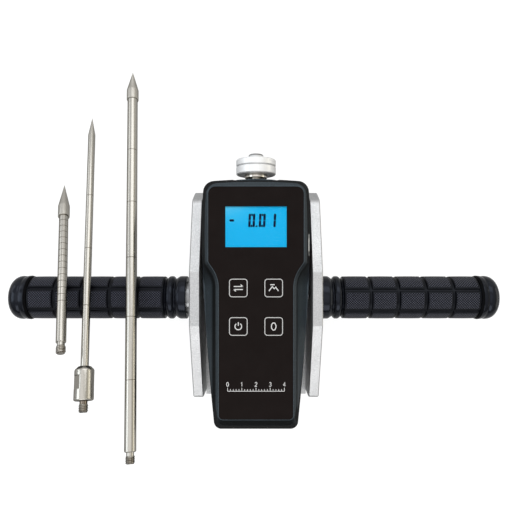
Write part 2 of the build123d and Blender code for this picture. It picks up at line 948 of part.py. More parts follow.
def finger_disc(bottom, top):
    """Chamfered disc on the sensor axis, turned by hand."""
    with BuildPart() as disc:
        with BuildSketch(Plane.XZ.offset(-bottom)):
            with Locations((0, sensor_z)):
                Circle(disc_d / 2)
        extrude(amount=-(top - bottom))
        chamfer(disc.edges(), disc_edge)
    return disc.part


def tapped_bore(bottom, top, thread_d):
    """Plain bore on the sensor axis for a thread that runs freely in it."""
    with BuildPart() as bore:
        with BuildSketch(Plane.XZ.offset(-bottom)):
            with Locations((0, sensor_z)):
                Circle(thread_d / 2 + thread_fit)
        extrude(amount=-(top - bottom))
    return bore.part


with BuildPart() as lock_disc:
    add(finger_disc(disc_bottom, disc_seam - running))
    add(tapped_bore(disc_bottom, disc_seam, stud_thread_d), mode=Mode.SUBTRACT)
    with BuildSketch(Plane.XZ.offset(-disc_bottom)):
        with Locations((0, sensor_z)):
            Circle(stud_hub_d / 2 + drop_in)
    extrude(amount=-disc_recess, mode=Mode.SUBTRACT)
save(lock_disc, "lock_disc")

with BuildPart() as probe_socket:
    add(finger_disc(disc_seam, disc_top))
    with BuildSketch(Plane.XZ.offset(-disc_top)):
        with Locations((0, sensor_z)):
            Circle(socket_d / 2)
    extrude(amount=-(socket_top - disc_top))
    chamfer(probe_socket.edges().sort_by(Axis.Y)[-1], disc_edge)
    add(tapped_bore(disc_seam, stud_top_y + running, stud_thread_d), mode=Mode.SUBTRACT)
    add(tapped_bore(disc_seam, socket_top, probe_thread_d), mode=Mode.SUBTRACT)
save(probe_socket, "probe_socket")

with BuildPart() as load_cell:
    cell_centre_y = (cell_top + cell_bottom) / 2
    slot_rise = (cell_top - cell_bottom) / 2 - cell_arm
    with BuildSketch(level(sensor_z - cell_thick / 2)):
        with Locations((0, cell_centre_y)):
            Rectangle(cell_width, cell_top - cell_bottom)
        with Locations((cell_slot_wall / 2, cell_centre_y + slot_rise)):
            Rectangle(cell_width - cell_slot_wall, cell_slot, mode=Mode.SUBTRACT)
        with Locations((-cell_slot_wall / 2, cell_centre_y - slot_rise)):
            Rectangle(cell_width - cell_slot_wall, cell_slot, mode=Mode.SUBTRACT)
        with Locations((0, cell_centre_y)):
            Circle(cell_hole_d / 2, mode=Mode.SUBTRACT)
    extrude(amount=cell_thick)
    for end_y, way in ((cell_top, 1), (cell_bottom, -1)):
        with BuildSketch(Plane(origin=(0, end_y, sensor_z), x_dir=(1, 0, 0), z_dir=(0, way, 0))):
            Circle(cell_thread_d / 2 + fit)
        extrude(amount=-cell_thread_depth - running, mode=Mode.SUBTRACT)
save(load_cell, "load_cell")

with BuildPart() as cell_bracket:
    with BuildSketch(Plane.YZ.offset(-bracket_width / 2)):
        with BuildLine():
            Polyline(
                (cell_bottom - bracket_wall, rear_floor_z),
                (bracket_reach, rear_floor_z),
                (bracket_reach, bracket_top_z),
                (cell_bottom, bracket_top_z),
                (cell_bottom, sensor_z + cell_thick / 2),
                (cell_bottom - bracket_wall, sensor_z + cell_thick / 2),
                close=True,
            )
        make_face()
    extrude(amount=bracket_width)
    with BuildSketch(level(rear_floor_z)):
        with Locations(*standoff_places):
            Circle(standoff_stud_d / 2 + fit)
    extrude(amount=bracket_base, mode=Mode.SUBTRACT)
    with BuildSketch(Plane.XZ.offset(-cell_bottom)):
        with Locations((0, sensor_z)):
            Circle(cell_thread_d / 2 + fit)
    extrude(amount=bracket_wall, mode=Mode.SUBTRACT)
save(cell_bracket, "cell_bracket")

with BuildPart() as cell_bolt:
    with BuildSketch(Plane.XZ.offset(-cell_bottom + bracket_wall)):
        with Locations((0, sensor_z)):
            Circle(cell_bolt_head_d / 2)
    extrude(amount=cell_bolt_head)
    with BuildSketch(Plane.XZ.offset(-cell_bottom + bracket_wall)):
        with Locations((0, sensor_z)):
            Circle(cell_thread_d / 2)
    extrude(amount=-cell_bolt_length)
save(cell_bolt, "cell_bolt")

# Standoffs between the back plate and the case

with BuildPart() as standoffs:
    with BuildSketch(level(plate_thick)):
        with Locations(*standoff_places):
            RegularPolygon(standoff_d / 2, 6)
    extrude(amount=case_back_z - plate_thick)
    with BuildSketch(level(case_back_z)):
        with Locations(*standoff_places):
            Circle(standoff_stud_d / 2)
    extrude(amount=case_floor + bracket_base)
    with BuildSketch(level(plate_thick)):
        with Locations(*standoff_places):
            Circle(standoff_stud_d / 2 + fit)
    extrude(amount=standoff_screw_length - plate_thick + running, mode=Mode.SUBTRACT)
save(standoffs, "standoffs")

with BuildPart() as standoff_screws:
    for x, y in standoff_places:
        place = Plane(origin=(x, y, 0), x_dir=(1, 0, 0), z_dir=(0, 0, -1))
        add(flat_head_screw(place, standoff_screw_head_d, standoff_stud_d, standoff_screw_length))
save(standoff_screws, "standoff_screws")

# Batteries, contacts and cover

with BuildPart() as batteries:
    for x in battery_places:
        with BuildSketch(Plane.XZ.offset(-battery_top_y)):
            with Locations((x, battery_z)):
                Circle(battery_d / 2)
        extrude(amount=battery_length)
        with BuildSketch(Plane.XZ.offset(-battery_top_y + battery_length)):
            with Locations((x, battery_z)):
                Circle(battery_nub_d / 2)
        extrude(amount=battery_nub)
save(batteries, "batteries")

with BuildPart() as battery_contacts:
    for x in battery_places:
        for y in (battery_top_y, compartment_bottom_y):
            with Locations((x, y, battery_z)):
                Box(
                    contact_width,
                    contact_thick,
                    contact_height,
                    align=(Align.CENTER, Align.MIN, Align.CENTER),
                )
save(battery_contacts, "battery_contacts")

with BuildPart() as battery_cover:
    cover_length = cover_top_y - drop_in - cover_end_y
    cover_middle_y = (cover_top_y - drop_in + cover_end_y) / 2
    with BuildSketch(level(case_back_z)):
        with Locations((0, cover_middle_y)):
            Rectangle(2 * cover_half, cover_length)
    extrude(amount=cover_thick)
    with BuildSketch(level(case_back_z + (cover_thick - tongue_thick) / 2)):
        with Locations((0, cover_middle_y)):
            Rectangle(2 * (cover_half + tongue_width), cover_length)
    extrude(amount=tongue_thick)
    with BuildSketch(level(case_back_z)):
        with Locations((0, cover_end_y + cover_rib_count * cover_rib_pitch)):
            with GridLocations(0, cover_rib_pitch, 1, cover_rib_count):
                Rectangle(cover_rib_length, cover_rib_width)
    extrude(amount=-cover_rib)
save(battery_cover, "battery_cover")


# Probes

def probe_lay(tip_x, tip_y, heading, rod_d):
    """Section plane of a probe that lies over the left grip with its tip on the table.

    Seen along the grip, the probe is the tangent from its tip to a circle around the grip's axis.
    The plane's origin is the tip and its Y direction runs up the probe.
    """
    reach = (grip_pad_d + rod_d) / 2 + lie_gap
    rise = handle_z - lie_gap
    slope = atan2(rise, tip_y) + asin(reach / hypot(rise, tip_y))
    along = Vector(tan(radians(heading)), -1, tan(slope)).normalized()
    side = Vector(0, 0, 1).cross(along).normalized()
    return Plane(origin=(tip_x, tip_y, lie_gap), x_dir=side, z_dir=side.cross(along))


def probe_axis(lay):
    return Axis(lay.origin, lay.y_dir)


def mark_points(radius, first, pitch, last):
    """Turned depth marks along a rod up to its plain end, as steps in its outline."""
    points = []
    for i in range(int((last - first) / pitch) + 1):
        middle = first + i * pitch
        points.append((radius, middle - mark_width / 2))
        points.append((radius - mark_depth, middle - mark_width / 2))
        points.append((radius - mark_depth, middle + mark_width / 2))
        points.append((radius, middle + mark_width / 2))
    return points


def thread_points(radius, shoulder, end):
    """Undercut neck and threaded stub at the screw-on end of a probe."""
    thread_r = probe_thread_d / 2
    return [
        (radius, shoulder - disc_edge),
        (radius - disc_edge, shoulder),
        (thread_neck_d / 2, shoulder),
        (thread_neck_d / 2, shoulder + thread_neck),
        (thread_r, shoulder + thread_neck + thread_r - thread_neck_d / 2),
        (thread_r, end - disc_edge),
        (thread_r - disc_edge, end),
        (0, end),
    ]


def turned(lay, points):
    """Piece turned about a probe's axis from its half outline."""
    with BuildPart() as piece:
        with BuildSketch(lay):
            with BuildLine():
                Polyline(*points, close=True)
            make_face()
        revolve(axis=probe_axis(lay))
    return piece


def cone_points(cone_d, cone, cone_end):
    """Hollow cone tip with a straight sleeve, bored for the rod's spigot."""
    bore_r = spigot_d / 2 + fit
    bore_end = cone_end - spigot_length - fit
    return [
        (0, 0),
        (cone_d / 2, cone),
        (cone_d / 2, cone_end),
        (bore_r, cone_end),
        (bore_r, bore_end),
        (0, bore_end),
    ]


def rod_points(rod_d, cone_end, marks, shoulder, end):
    """Rod with a spigot into its cone, depth marks and a threaded end."""
    return [
        (0, cone_end - spigot_length),
        (spigot_d / 2, cone_end - spigot_length),
        (spigot_d / 2, cone_end),
        (rod_d / 2, cone_end),
        *marks,
        *thread_points(rod_d / 2, shoulder, end),
    ]


long_lay = probe_lay(long_tip_x, long_tip_y, long_heading, long_d)
long_shoulder = long_length - long_thread
long_marks = mark_points(long_d / 2, long_first_mark, long_mark_pitch, long_shoulder - long_plain)
save(turned(long_lay, cone_points(long_cone_d, long_cone, long_cone_end)), "long_cone")
save(
    turned(long_lay, rod_points(long_d, long_cone_end, long_marks, long_shoulder, long_length)), "long_rod"
)

short_lay = probe_lay(short_tip_x, short_tip_y, short_heading, short_d)
short_shoulder = short_length - short_thread
short_marks = mark_points(short_d / 2, short_first_mark, short_mark_pitch, short_shoulder - short_plain)
save(turned(short_lay, cone_points(short_cone_d, short_cone, short_cone_end)), "short_cone")
save(
    turned(short_lay, rod_points(short_d, short_cone_end, short_marks, short_shoulder, short_length)),
    "short_rod",
)

needle_lay = probe_lay(needle_tip_x, needle_tip_y, needle_heading, needle_d)
needle_shoulder = needle_length - needle_thread
adapter_start = needle_shoulder - adapter_length
needle_r = needle_d / 2
needle_marks = mark_points(needle_r, needle_first_mark, needle_mark_pitch, adapter_start - needle_plain)
needle_end = adapter_start + needle_seat
save(
    turned(
        needle_lay, [(0, 0), (needle_r, needle_cone), *needle_marks, (needle_r, needle_end), (0, needle_end)]
    ),
    "needle_rod",
)

adapter = turned(
    needle_lay,
    [
        (0, needle_end + fit),
        (needle_r + fit, needle_end + fit),
        (needle_r + fit, adapter_start),
        (adapter_d / 2 - adapter_chamfer, adapter_start),
        (adapter_d / 2, adapter_start + adapter_chamfer),
        (adapter_d / 2, needle_shoulder - adapter_edge),
        (adapter_d / 2 - adapter_edge, needle_shoulder),
        *thread_points(probe_thread_d / 2, needle_shoulder, needle_length)[2:],
    ],
)
with BuildPart() as needle_adapter:
    add(adapter.part)
    flat_middle = adapter_start + adapter_flat_start + adapter_flat_length / 2
    flat_way = needle_lay.x_dir.rotate(probe_axis(needle_lay), -90 + adapter_turn)
    flat_place = Plane(
        origin=needle_lay.origin + needle_lay.y_dir * flat_middle, x_dir=flat_way, z_dir=needle_lay.y_dir
    )
    with BuildSketch(flat_place):
        Rectangle(2 * adapter_d, 2 * adapter_d)
        Rectangle(adapter_flat, 2 * adapter_d, mode=Mode.SUBTRACT)
    extrude(amount=adapter_flat_length / 2, both=True, mode=Mode.SUBTRACT)
save(needle_adapter, "needle_adapter")
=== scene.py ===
import json
import math

import bpy
import numpy as np
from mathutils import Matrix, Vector


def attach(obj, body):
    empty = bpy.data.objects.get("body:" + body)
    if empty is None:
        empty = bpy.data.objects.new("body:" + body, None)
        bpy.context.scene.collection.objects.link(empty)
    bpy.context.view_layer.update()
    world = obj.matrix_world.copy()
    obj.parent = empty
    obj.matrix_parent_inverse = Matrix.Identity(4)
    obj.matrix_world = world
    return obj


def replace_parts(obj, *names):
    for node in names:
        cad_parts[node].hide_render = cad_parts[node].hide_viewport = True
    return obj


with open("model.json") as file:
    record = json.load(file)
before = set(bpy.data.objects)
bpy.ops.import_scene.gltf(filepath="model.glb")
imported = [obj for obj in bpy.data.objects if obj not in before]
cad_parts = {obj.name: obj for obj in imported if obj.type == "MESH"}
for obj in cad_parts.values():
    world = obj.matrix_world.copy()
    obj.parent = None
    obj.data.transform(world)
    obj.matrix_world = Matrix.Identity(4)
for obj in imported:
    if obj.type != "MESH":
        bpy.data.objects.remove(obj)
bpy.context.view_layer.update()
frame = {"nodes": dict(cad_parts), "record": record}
print("frame loaded with", len(frame["nodes"]), "nodes")

mm = 0.001


# mesh helpers

def meshPiece(name, points, faces, body, finish, cornerMap=None, crease=35.0):
    # points in millimetres, faces as index lists, cornerMap one (u, v) for each face corner
    mesh = bpy.data.meshes.new(name)
    mesh.from_pydata((np.asarray(points) * mm).tolist(), [], faces)
    if cornerMap is not None:
        layer = mesh.uv_layers.new(name="along")
        layer.uv.foreach_set("vector", np.asarray(cornerMap, np.float32).ravel())
    mesh.polygons.foreach_set("use_smooth", np.ones(len(mesh.polygons), bool))
    mesh.set_sharp_from_angle(angle=math.radians(crease))
    mesh.update()
    piece = bpy.data.objects.new(name, mesh)
    bpy.context.scene.collection.objects.link(piece)
    mesh.materials.append(finish)
    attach(piece, body)
    return piece


def softPath(points, radii, steps=5, legShare=0.45):
    # every inner corner of a polyline becomes a quadratic curve that starts and ends a radius away from it, or
    # less where that is more than a share of the shorter leg
    points = np.asarray(points, float)
    radii = np.broadcast_to(np.asarray(radii, float), len(points))[1:-1]
    before, corner, after = points[:-2], points[1:-1], points[2:]
    gapIn = np.linalg.norm(corner - before, axis=1)
    gapOut = np.linalg.norm(after - corner, axis=1)
    reach = np.minimum(radii, legShare * np.minimum(gapIn, gapOut))
    start = corner + (before - corner) * (reach / gapIn)[:, None]
    end = corner + (after - corner) * (reach / gapOut)[:, None]
    t = np.linspace(0, 1, steps)[None, :, None]
    curve = (1 - t) ** 2 * start[:, None] + 2 * t * (1 - t) * corner[:, None] + t ** 2 * end[:, None]
    return np.vstack([points[:1], curve.reshape(-1, 2), points[-1:]])


def fillPath(path, low, high, step):
    # extra points along a path between two stations, so that a pattern has rows to live on
    length = np.concatenate([[0], np.cumsum(np.linalg.norm(np.diff(path, axis=0), axis=1))])
    inside = (path[:, 0] >= low) & (path[:, 0] <= high)
    first, last = length[inside].min(), length[inside].max()
    extra = np.linspace(first, last, int((last - first) / step) + 2)
    every = np.unique(np.round(np.concatenate([length, extra]), 5))
    return np.column_stack([np.interp(every, length, path[:, k]) for k in (0, 1)])


def lathePiece(name, station, radius, place, body, finish, angles=None, mapRadius=None):
    # row i is a ring round the axis at station[i]; column j stands at angles[j], radius[i, j] away from the axis
    # a profile that starts on the axis ends on it too, in two poles; any other closes on its first row
    cols = radius.shape[1]
    if angles is None:
        angles = np.arange(cols) * 2 * np.pi / cols
    origin, along, side, up = (np.asarray(v, float) for v in place)
    spoke = np.cos(angles)[:, None] * side + np.sin(angles)[:, None] * up
    poles = radius[0].max() < 1e-6
    inner = slice(1, -1) if poles else slice(None)
    s, r = station[inner], radius[inner]
    rings = origin + s[:, None, None] * along + r[:, :, None] * spoke[None]
    points = rings.reshape(-1, 3)
    ring = np.arange(len(points)).reshape(len(s), cols)
    if not poles:
        ring = np.vstack([ring, ring[:1]])
        s = np.append(s, s[0])
    nextRing = np.roll(ring, -1, axis=1)
    quads = np.stack([ring[:-1], ring[1:], nextRing[1:], nextRing[:-1]], -1).reshape(-1, 4)
    # map: millimetres along the axis and round a ring of the map's radius, the widest one if none is given
    mapRadius = mapRadius or radius.max()
    turn = angles * mapRadius
    nextTurn = np.append(turn[1:], turn[0] + 2 * np.pi * mapRadius)
    gridSize = len(s) - 1, cols
    here, there, low, high = (np.broadcast_to(v, gridSize) for v in (s[:-1, None], s[1:, None], turn, nextTurn))
    runs = [(quads, np.stack([here, low, there, low, there, high, here, high], -1).reshape(-1, 4, 2))]
    if poles:
        points = np.vstack([points, origin + station[[0, -1], None] * along])
        tips = ((len(points) - 2, station[0], s[0], ring[0], nextRing[0], turn, nextTurn),
                (len(points) - 1, station[-1], s[-1], nextRing[-1], ring[-1], nextTurn, turn))
        for tip, tipAt, ringAt, first, second, firstTurn, secondTurn in tips:
            fan = np.stack([np.full(cols, tip), first, second], -1)
            tipSpot, ringSpot = np.full(cols, tipAt), np.full(cols, ringAt)
            spots = [tipSpot, (firstTurn + secondTurn) / 2, ringSpot, firstTurn, ringSpot, secondTurn]
            runs.append((fan, np.stack(spots, -1).reshape(-1, 3, 2)))
    # outward faces give a positive volume
    corners = points[quads]
    volume = np.einsum("ij,ij->i", np.cross(corners[:, 2] - corners[:, 0], corners[:, 3] - corners[:, 1]),
                       corners.mean(1) - points.mean(0)).sum()
    step = 1 if volume > 0 else -1
    faces = [face for index, spots in runs for face in index[:, ::step].tolist()]
    cornerMap = np.vstack([spots[:, ::step].reshape(-1, 2) for index, spots in runs])
    return meshPiece(name, points, faces, body, finish, cornerMap)


def pointValues(piece, name, grid):
    # an attribute with one value for each point of a lathed piece that has poles, and 0 on the poles
    values = np.concatenate([grid[1:-1].ravel(), [0.0, 0.0]])
    piece.data.attributes.new(name, "FLOAT", "POINT").data.foreach_set("value", values.astype(np.float32))


def ribbonPiece(name, strokes, low, high, body, finish):
    # a stroke is (points, widths, closed): a flat band carried along its points, as thick as high - low
    # its sides run half a width away from the points, and farther at corners, as a mitre does
    points, faces = [], []
    total = 0
    for line, widths, closed in strokes:
        line = np.asarray(line, float)
        count = len(line)
        widths = np.broadcast_to(np.asarray(widths, float), count)
        if closed:
            ahead = np.roll(line, -1, 0) - line
            behind = line - np.roll(line, 1, 0)
        else:
            ahead = np.vstack([line[1:] - line[:-1], line[-1:] - line[-2:-1]])
            behind = np.vstack([line[1:2] - line[:1], line[1:] - line[:-1]])
        ahead /= np.linalg.norm(ahead, axis=1)[:, None]
        behind /= np.linalg.norm(behind, axis=1)[:, None]
        way = ahead + behind
        way /= np.linalg.norm(way, axis=1)[:, None]
        mitre = 1 / np.clip((way * ahead).sum(1), 0.5, 1)
        out = np.column_stack([-way[:, 1], way[:, 0]]) * (widths / 2 * mitre)[:, None]
        left, right = line + out, line - out
        corners = ((left, high), (right, high), (right, low), (left, low))
        ring = np.stack([np.column_stack([side, np.full(count, level)]) for side, level in corners], 1)
        index = total + np.arange(4 * count).reshape(count, 4)
        near = index if closed else index[:-1]
        far = np.roll(index, -1, 0) if closed else index[1:]
        turned = np.roll(near, -1, 1), np.roll(far, -1, 1)
        faces += np.stack([near, turned[0], turned[1], far], -1).reshape(-1, 4)[:, ::-1].tolist()
        if not closed:
            faces += [index[0].tolist(), index[-1, ::-1].tolist()]
        points.append(ring.reshape(-1, 3))
        total += 4 * count
    return meshPiece(name, np.vstack(points), faces, body, finish, crease=20.0)


# material helpers

def newFinish(name, **sockets):
    # a Principled surface; keys are socket names with underscores for spaces
    finish = bpy.data.materials.new(name)
    finish.use_nodes = True
    shader = finish.node_tree.nodes["Principled BSDF"]
    for key, value in sockets.items():
        shader.inputs[key.replace("_", " ")].default_value = value
    return finish, finish.node_tree, shader


def addNode(tree, kind, wires=(), **settings):
    # wires give each input a link or a plain value
    made = tree.nodes.new(kind)
    for key, value in settings.items():
        setattr(made, key, value)
    for socket, source in dict(wires).items():
        if isinstance(source, bpy.types.NodeSocket):
            tree.links.new(source, made.inputs[socket])
        else:
            made.inputs[socket].default_value = source
    return made


def objectCoords(tree, scale=(1, 1, 1)):
    # the piece's own place in metres, times a scale for each axis
    place = addNode(tree, "ShaderNodeTexCoord").outputs["Object"]
    return addNode(tree, "ShaderNodeMapping", {"Vector": place, "Scale": scale}).outputs["Vector"]


def pieceMap(tree):
    # millimetres along and round a lathed piece
    return addNode(tree, "ShaderNodeUVMap", uv_map="along").outputs["UV"]


def attributeOf(tree, name):
    return addNode(tree, "ShaderNodeAttribute", attribute_name=name).outputs["Fac"]


def partsOf(tree, vector):
    return addNode(tree, "ShaderNodeSeparateXYZ", {"Vector": vector}).outputs


def noiseOf(tree, coords, scale, detail=3.0, rough=0.55):
    return addNode(tree, "ShaderNodeTexNoise", {"Vector": coords, "Scale": scale, "Detail": detail,
                                                "Roughness": rough}).outputs["Fac"]


def rampOf(tree, value, stops):
    # stops are (place, grey or colour)
    ramp = addNode(tree, "ShaderNodeValToRGB", {"Fac": value})
    marks = ramp.color_ramp.elements
    while len(marks) < len(stops):
        marks.new(0.5)
    for mark, (spot, tone) in zip(marks, stops):
        mark.position = spot
        mark.color = (*tone, 1) if isinstance(tone, tuple) else (tone, tone, tone, 1)
    return ramp.outputs["Color"]


def rangeOf(tree, value, low, high, fromLow=0.3, fromHigh=0.7):
    # low where the value is fromLow or less, high where it is fromHigh or more; noise mostly lies in 0.3 to 0.7
    return addNode(tree, "ShaderNodeMapRange", {"Value": value, "From Min": fromLow, "From Max": fromHigh,
                                                "To Min": low, "To Max": high}).outputs["Result"]


def mathOf(tree, operation, first, second=0.0):
    return addNode(tree, "ShaderNodeMath", {0: first, 1: second}, operation=operation).outputs["Value"]


def scaledBy(tree, tone, factor):
    return addNode(tree, "ShaderNodeVectorMath", {0: tone, "Scale": factor}, operation="SCALE").outputs["Vector"]


def bumpOn(tree, shader, height, depth, strength=1.0, under=None):
    # depth in millimetres, under is a bump that this one lies on
    wires = {"Height": height, "Distance": depth * mm, "Strength": strength}
    if under is not None:
        wires["Normal"] = under
    bump = addNode(tree, "ShaderNodeBump", wires).outputs["Normal"]
    linkTo(tree, bump, shader, "Normal")
    return bump


def linkTo(tree, source, shader, socket):
    tree.links.new(source, shader.inputs[socket])


def paint(tree, shader, tone, rough):
    linkTo(tree, tone, shader, "Base Color")
    linkTo(tree, rough, shader, "Roughness")


def shades(tone, low, high):
    # a colour made darker and lighter
    return tuple(low * c for c in tone), tuple(high * c for c in tone)


# finishes

def blastedAlloy():
    # bead-blasted aluminium: fine sparkling grain, and slow clouds in its gloss
    finish, tree, shader = newFinish("blastedAlloy", Metallic=1.0, Specular_Tint=(1.0, 1.0, 1.0, 1))
    coords = objectCoords(tree)
    grain = noiseOf(tree, coords, 1900, 2.0)
    cloud = noiseOf(tree, coords, 45, 3.0)
    tone = rampOf(tree, grain, [(0.3, (0.41, 0.415, 0.42)), (0.5, (0.545, 0.55, 0.555)),
                                (0.7, (0.70, 0.70, 0.705))])
    paint(tree, shader, tone, rangeOf(tree, cloud, 0.36, 0.44))
    bumpOn(tree, shader, grain, 0.04, 0.6)
    return finish


discToneLook = {  # places along the sensor axis in metres, tones as shares of the plain one
    "seam": 0.0882, "seamReach": (0.0002, 0.0006), "seamTone": 0.72, "rim": (0.0945, 0.0957), "rimTone": 0.22,
    "streaks": (900, 25, 900),
}


def turnedAlloy(toneLook):
    # bright satin discs: faint streaks along the sensor axis, darker in the seam and from the socket's rim on
    finish, tree, shader = newFinish("turnedAlloy", Metallic=0.3, Specular_Tint=(0.4, 0.4, 0.4, 1))
    streaks = noiseOf(tree, objectCoords(tree, toneLook["streaks"]), 1.0, 2.0)
    tone = rampOf(tree, streaks, [(0.3, (0.89, 0.895, 0.90)), (0.7, (0.94, 0.94, 0.94))])
    along = partsOf(tree, objectCoords(tree))["Y"]
    offSeam = mathOf(tree, "ABSOLUTE", mathOf(tree, "SUBTRACT", along, toneLook["seam"]))
    toneShare = mathOf(tree, "MULTIPLY", rangeOf(tree, along, 1.0, toneLook["rimTone"], *toneLook["rim"]),
                   rangeOf(tree, offSeam, toneLook["seamTone"], 1.0, *toneLook["seamReach"]))
    paint(tree, shader, scaledBy(tree, tone, toneShare), rangeOf(tree, streaks, 0.30, 0.42))
    bumpOn(tree, shader, streaks, 0.02, 0.3)
    return finish


def polishedSteel(name, tone, low, high):
    # polished or plated steel: soft handling marks in the gloss
    finish, tree, shader = newFinish(name, Metallic=1.0, Specular_Tint=(0.55, 0.55, 0.55, 1))
    coords = objectCoords(tree)
    cloud = noiseOf(tree, coords, 160, 4.0)
    dull, bright = shades(tone, 0.82, 1.0)
    paint(tree, shader, rampOf(tree, cloud, [(0.3, dull), (0.65, bright)]), rangeOf(tree, cloud, low, high))
    bumpOn(tree, shader, noiseOf(tree, coords, 2200, 2.0), 0.01, 0.25)
    return finish


def probeSteel(name, low, high):
    # turned steel: fine rings along the rod, from the piece's own map in millimetres, and dark turned marks
    finish, tree, shader = newFinish(name, Metallic=1.0, Specular_Tint=(0.15, 0.15, 0.14, 1))
    ringMap = addNode(tree, "ShaderNodeMapping", {"Vector": pieceMap(tree), "Scale": (7.0, 0.03, 1)})
    lines = noiseOf(tree, ringMap.outputs["Vector"], 1.0, 3.0, 0.7)
    cloud = noiseOf(tree, objectCoords(tree), 70, 3.0)
    marks = mathOf(tree, "MULTIPLY", attributeOf(tree, "mark"), 0.8)
    tone = rampOf(tree, mathOf(tree, "SUBTRACT", lines, marks),
                  [(0.0, (0.22, 0.185, 0.15)), (0.25, (0.50, 0.477, 0.432)), (0.5, (0.52, 0.497, 0.452)),
                   (0.75, (0.54, 0.517, 0.472))])
    paint(tree, shader, tone, mathOf(tree, "ADD", rangeOf(tree, lines, low, high), rangeOf(tree, cloud, 0.0, 0.04)))
    bumpOn(tree, shader, lines, 0.01, 0.04)
    return finish


def gripRubber(shape):
    # knurled rubber of the pads: dull diamonds whose peaks carry a painted highlight
    # a diamond is the lower of two waves that run slantwise over the pads
    finish, tree, shader = newFinish("gripRubber", Specular_IOR_Level=0.17, Specular_Tint=(0.82, 0.88, 1.0, 1))
    place = partsOf(tree, pieceMap(tree))
    waves = []
    for slant in ("ADD", "SUBTRACT"):
        phase = mathOf(tree, "MULTIPLY", mathOf(tree, slant, place["X"], place["Y"]),
                       shape["knurlCount"] / (2 * shape["padRadius"]))
        waves.append(mathOf(tree, "ABSOLUTE", mathOf(tree, "SINE", phase)))
    diamonds = mathOf(tree, "MINIMUM", *waves)
    mask = attributeOf(tree, "knurl")
    coords = objectCoords(tree)
    skin = noiseOf(tree, coords, 900, 3.0)
    cloud = noiseOf(tree, coords, 60, 3.0)
    # painted highlight: the peaks are far paler in the base colour than the valleys
    peakHighlight = rampOf(tree, mathOf(tree, "MULTIPLY", mathOf(tree, "SUBTRACT", diamonds, 0.4), mask),
                   [(0.0, (0.0014, 0.0015, 0.0028)), (0.5, (0.10, 0.104, 0.138))])
    paint(tree, shader, peakHighlight, mathOf(tree, "ADD", rangeOf(tree, cloud, 0.30, 0.36), rangeOf(tree, skin, -0.03, 0.05)))
    first = bumpOn(tree, shader, skin, 0.03, 0.35)
    bumpOn(tree, shader, mathOf(tree, "MULTIPLY", diamonds, mask), 0.6, 1.0, first)
    return finish


def smoothRubber():
    # moulded rubber of the rings, flange and cap: satin, with a slight bloom in its gloss
    finish, tree, shader = newFinish("smoothRubber", Specular_IOR_Level=0.32, Specular_Tint=(0.72, 0.80, 1.0, 1))
    coords = objectCoords(tree)
    skin = noiseOf(tree, coords, 900, 3.0)
    cloud = noiseOf(tree, coords, 60, 3.0)
    tone = rampOf(tree, cloud, [(0.3, (0.0012, 0.0013, 0.0020)), (0.7, (0.0024, 0.0026, 0.0040))])
    paint(tree, shader, tone, mathOf(tree, "ADD", rangeOf(tree, cloud, 0.16, 0.22), rangeOf(tree, skin, -0.02, 0.03)))
    bumpOn(tree, shader, skin, 0.03, 0.3)
    return finish


caseLook = {
    "front": (0.42, 0.56), "lean": 0.14,  # where the painted light and the satin start and are full, by the normal's Z and a little of its X, so faces turned to the front, a little more to the right, are painted paler
    "lowerEndShade": (-0.6, 0.12), "upperEndLight": 1.2,  # painted shade: the painted light fades on faces turned to the lower end, and is lifted on faces turned to the upper end
    "satin": 0.42, "coarse": 0.95, "gloss": (0.36, 0.44),  # how far the painted light lifts the tone, roughness of flanks and front
    # painted highlight along edges: radius of the rounding, the facing range it covers, and a cloud that breaks it up
    "edge": 0.0009, "edgeFacing": (0.86, 0.995), "edgeHighlightCloud": (0.25, 0.5),
    "tones": [(0.0, (0.002, 0.0026, 0.003)), (0.42, (0.027, 0.035, 0.041)), (0.9, (0.085, 0.11, 0.13))],
}


def casePlastic(look):
    # dark moulded case: satin where it faces the front, coarse grain on flanks and lower end; painted light makes
    # faces turned to the front, the right and the upper end paler, painted shade makes faces turned to the lower end
    # darker, and edges carry a painted highlight
    finish, tree, shader = newFinish("casePlastic", Specular_IOR_Level=0.15)
    coords = objectCoords(tree)
    grain = noiseOf(tree, coords, 1700, 2.0)
    cloud = noiseOf(tree, coords, 55, 3.0)
    own = addNode(tree, "ShaderNodeNewGeometry").outputs["True Normal"]
    turned = partsOf(tree, own)
    # painted light and shade by the face's own normal, which also makes the front satin
    tilted = mathOf(tree, "ADD", turned["Z"], mathOf(tree, "MULTIPLY", turned["X"], look["lean"]))
    front = mathOf(tree, "MULTIPLY", rangeOf(tree, tilted, 0.0, 1.0, *look["front"]),
                   rangeOf(tree, turned["Y"], 0.0, look["upperEndLight"], *look["lowerEndShade"]))
    # an edge is where the normal, rounded over a millimetre, leaves the face's own; there the tone gets a painted
    # highlight, broken up by a cloud
    rounded = addNode(tree, "ShaderNodeBevel", {"Radius": look["edge"]}, samples=6).outputs["Normal"]
    facing = addNode(tree, "ShaderNodeVectorMath", {0: rounded, 1: own}, operation="DOT_PRODUCT").outputs["Value"]
    edge = mathOf(tree, "MULTIPLY", rangeOf(tree, facing, 1.0, 0.0, *look["edgeFacing"]),
                  rangeOf(tree, cloud, *look["edgeHighlightCloud"]))
    # painted light: the tone is lifted on faces turned to the front and at the edges
    paintedLight = mathOf(tree, "ADD", mathOf(tree, "MULTIPLY", front, look["satin"]), edge)
    tone = rampOf(tree, mathOf(tree, "ADD", paintedLight, rangeOf(tree, grain, -0.1, 0.1)), look["tones"])
    paint(tree, shader, tone, rangeOf(tree, front, look["coarse"], rangeOf(tree, cloud, *look["gloss"]), 0.0, 1.0))
    bumpOn(tree, shader, grain, 0.04, 0.45)
    return finish


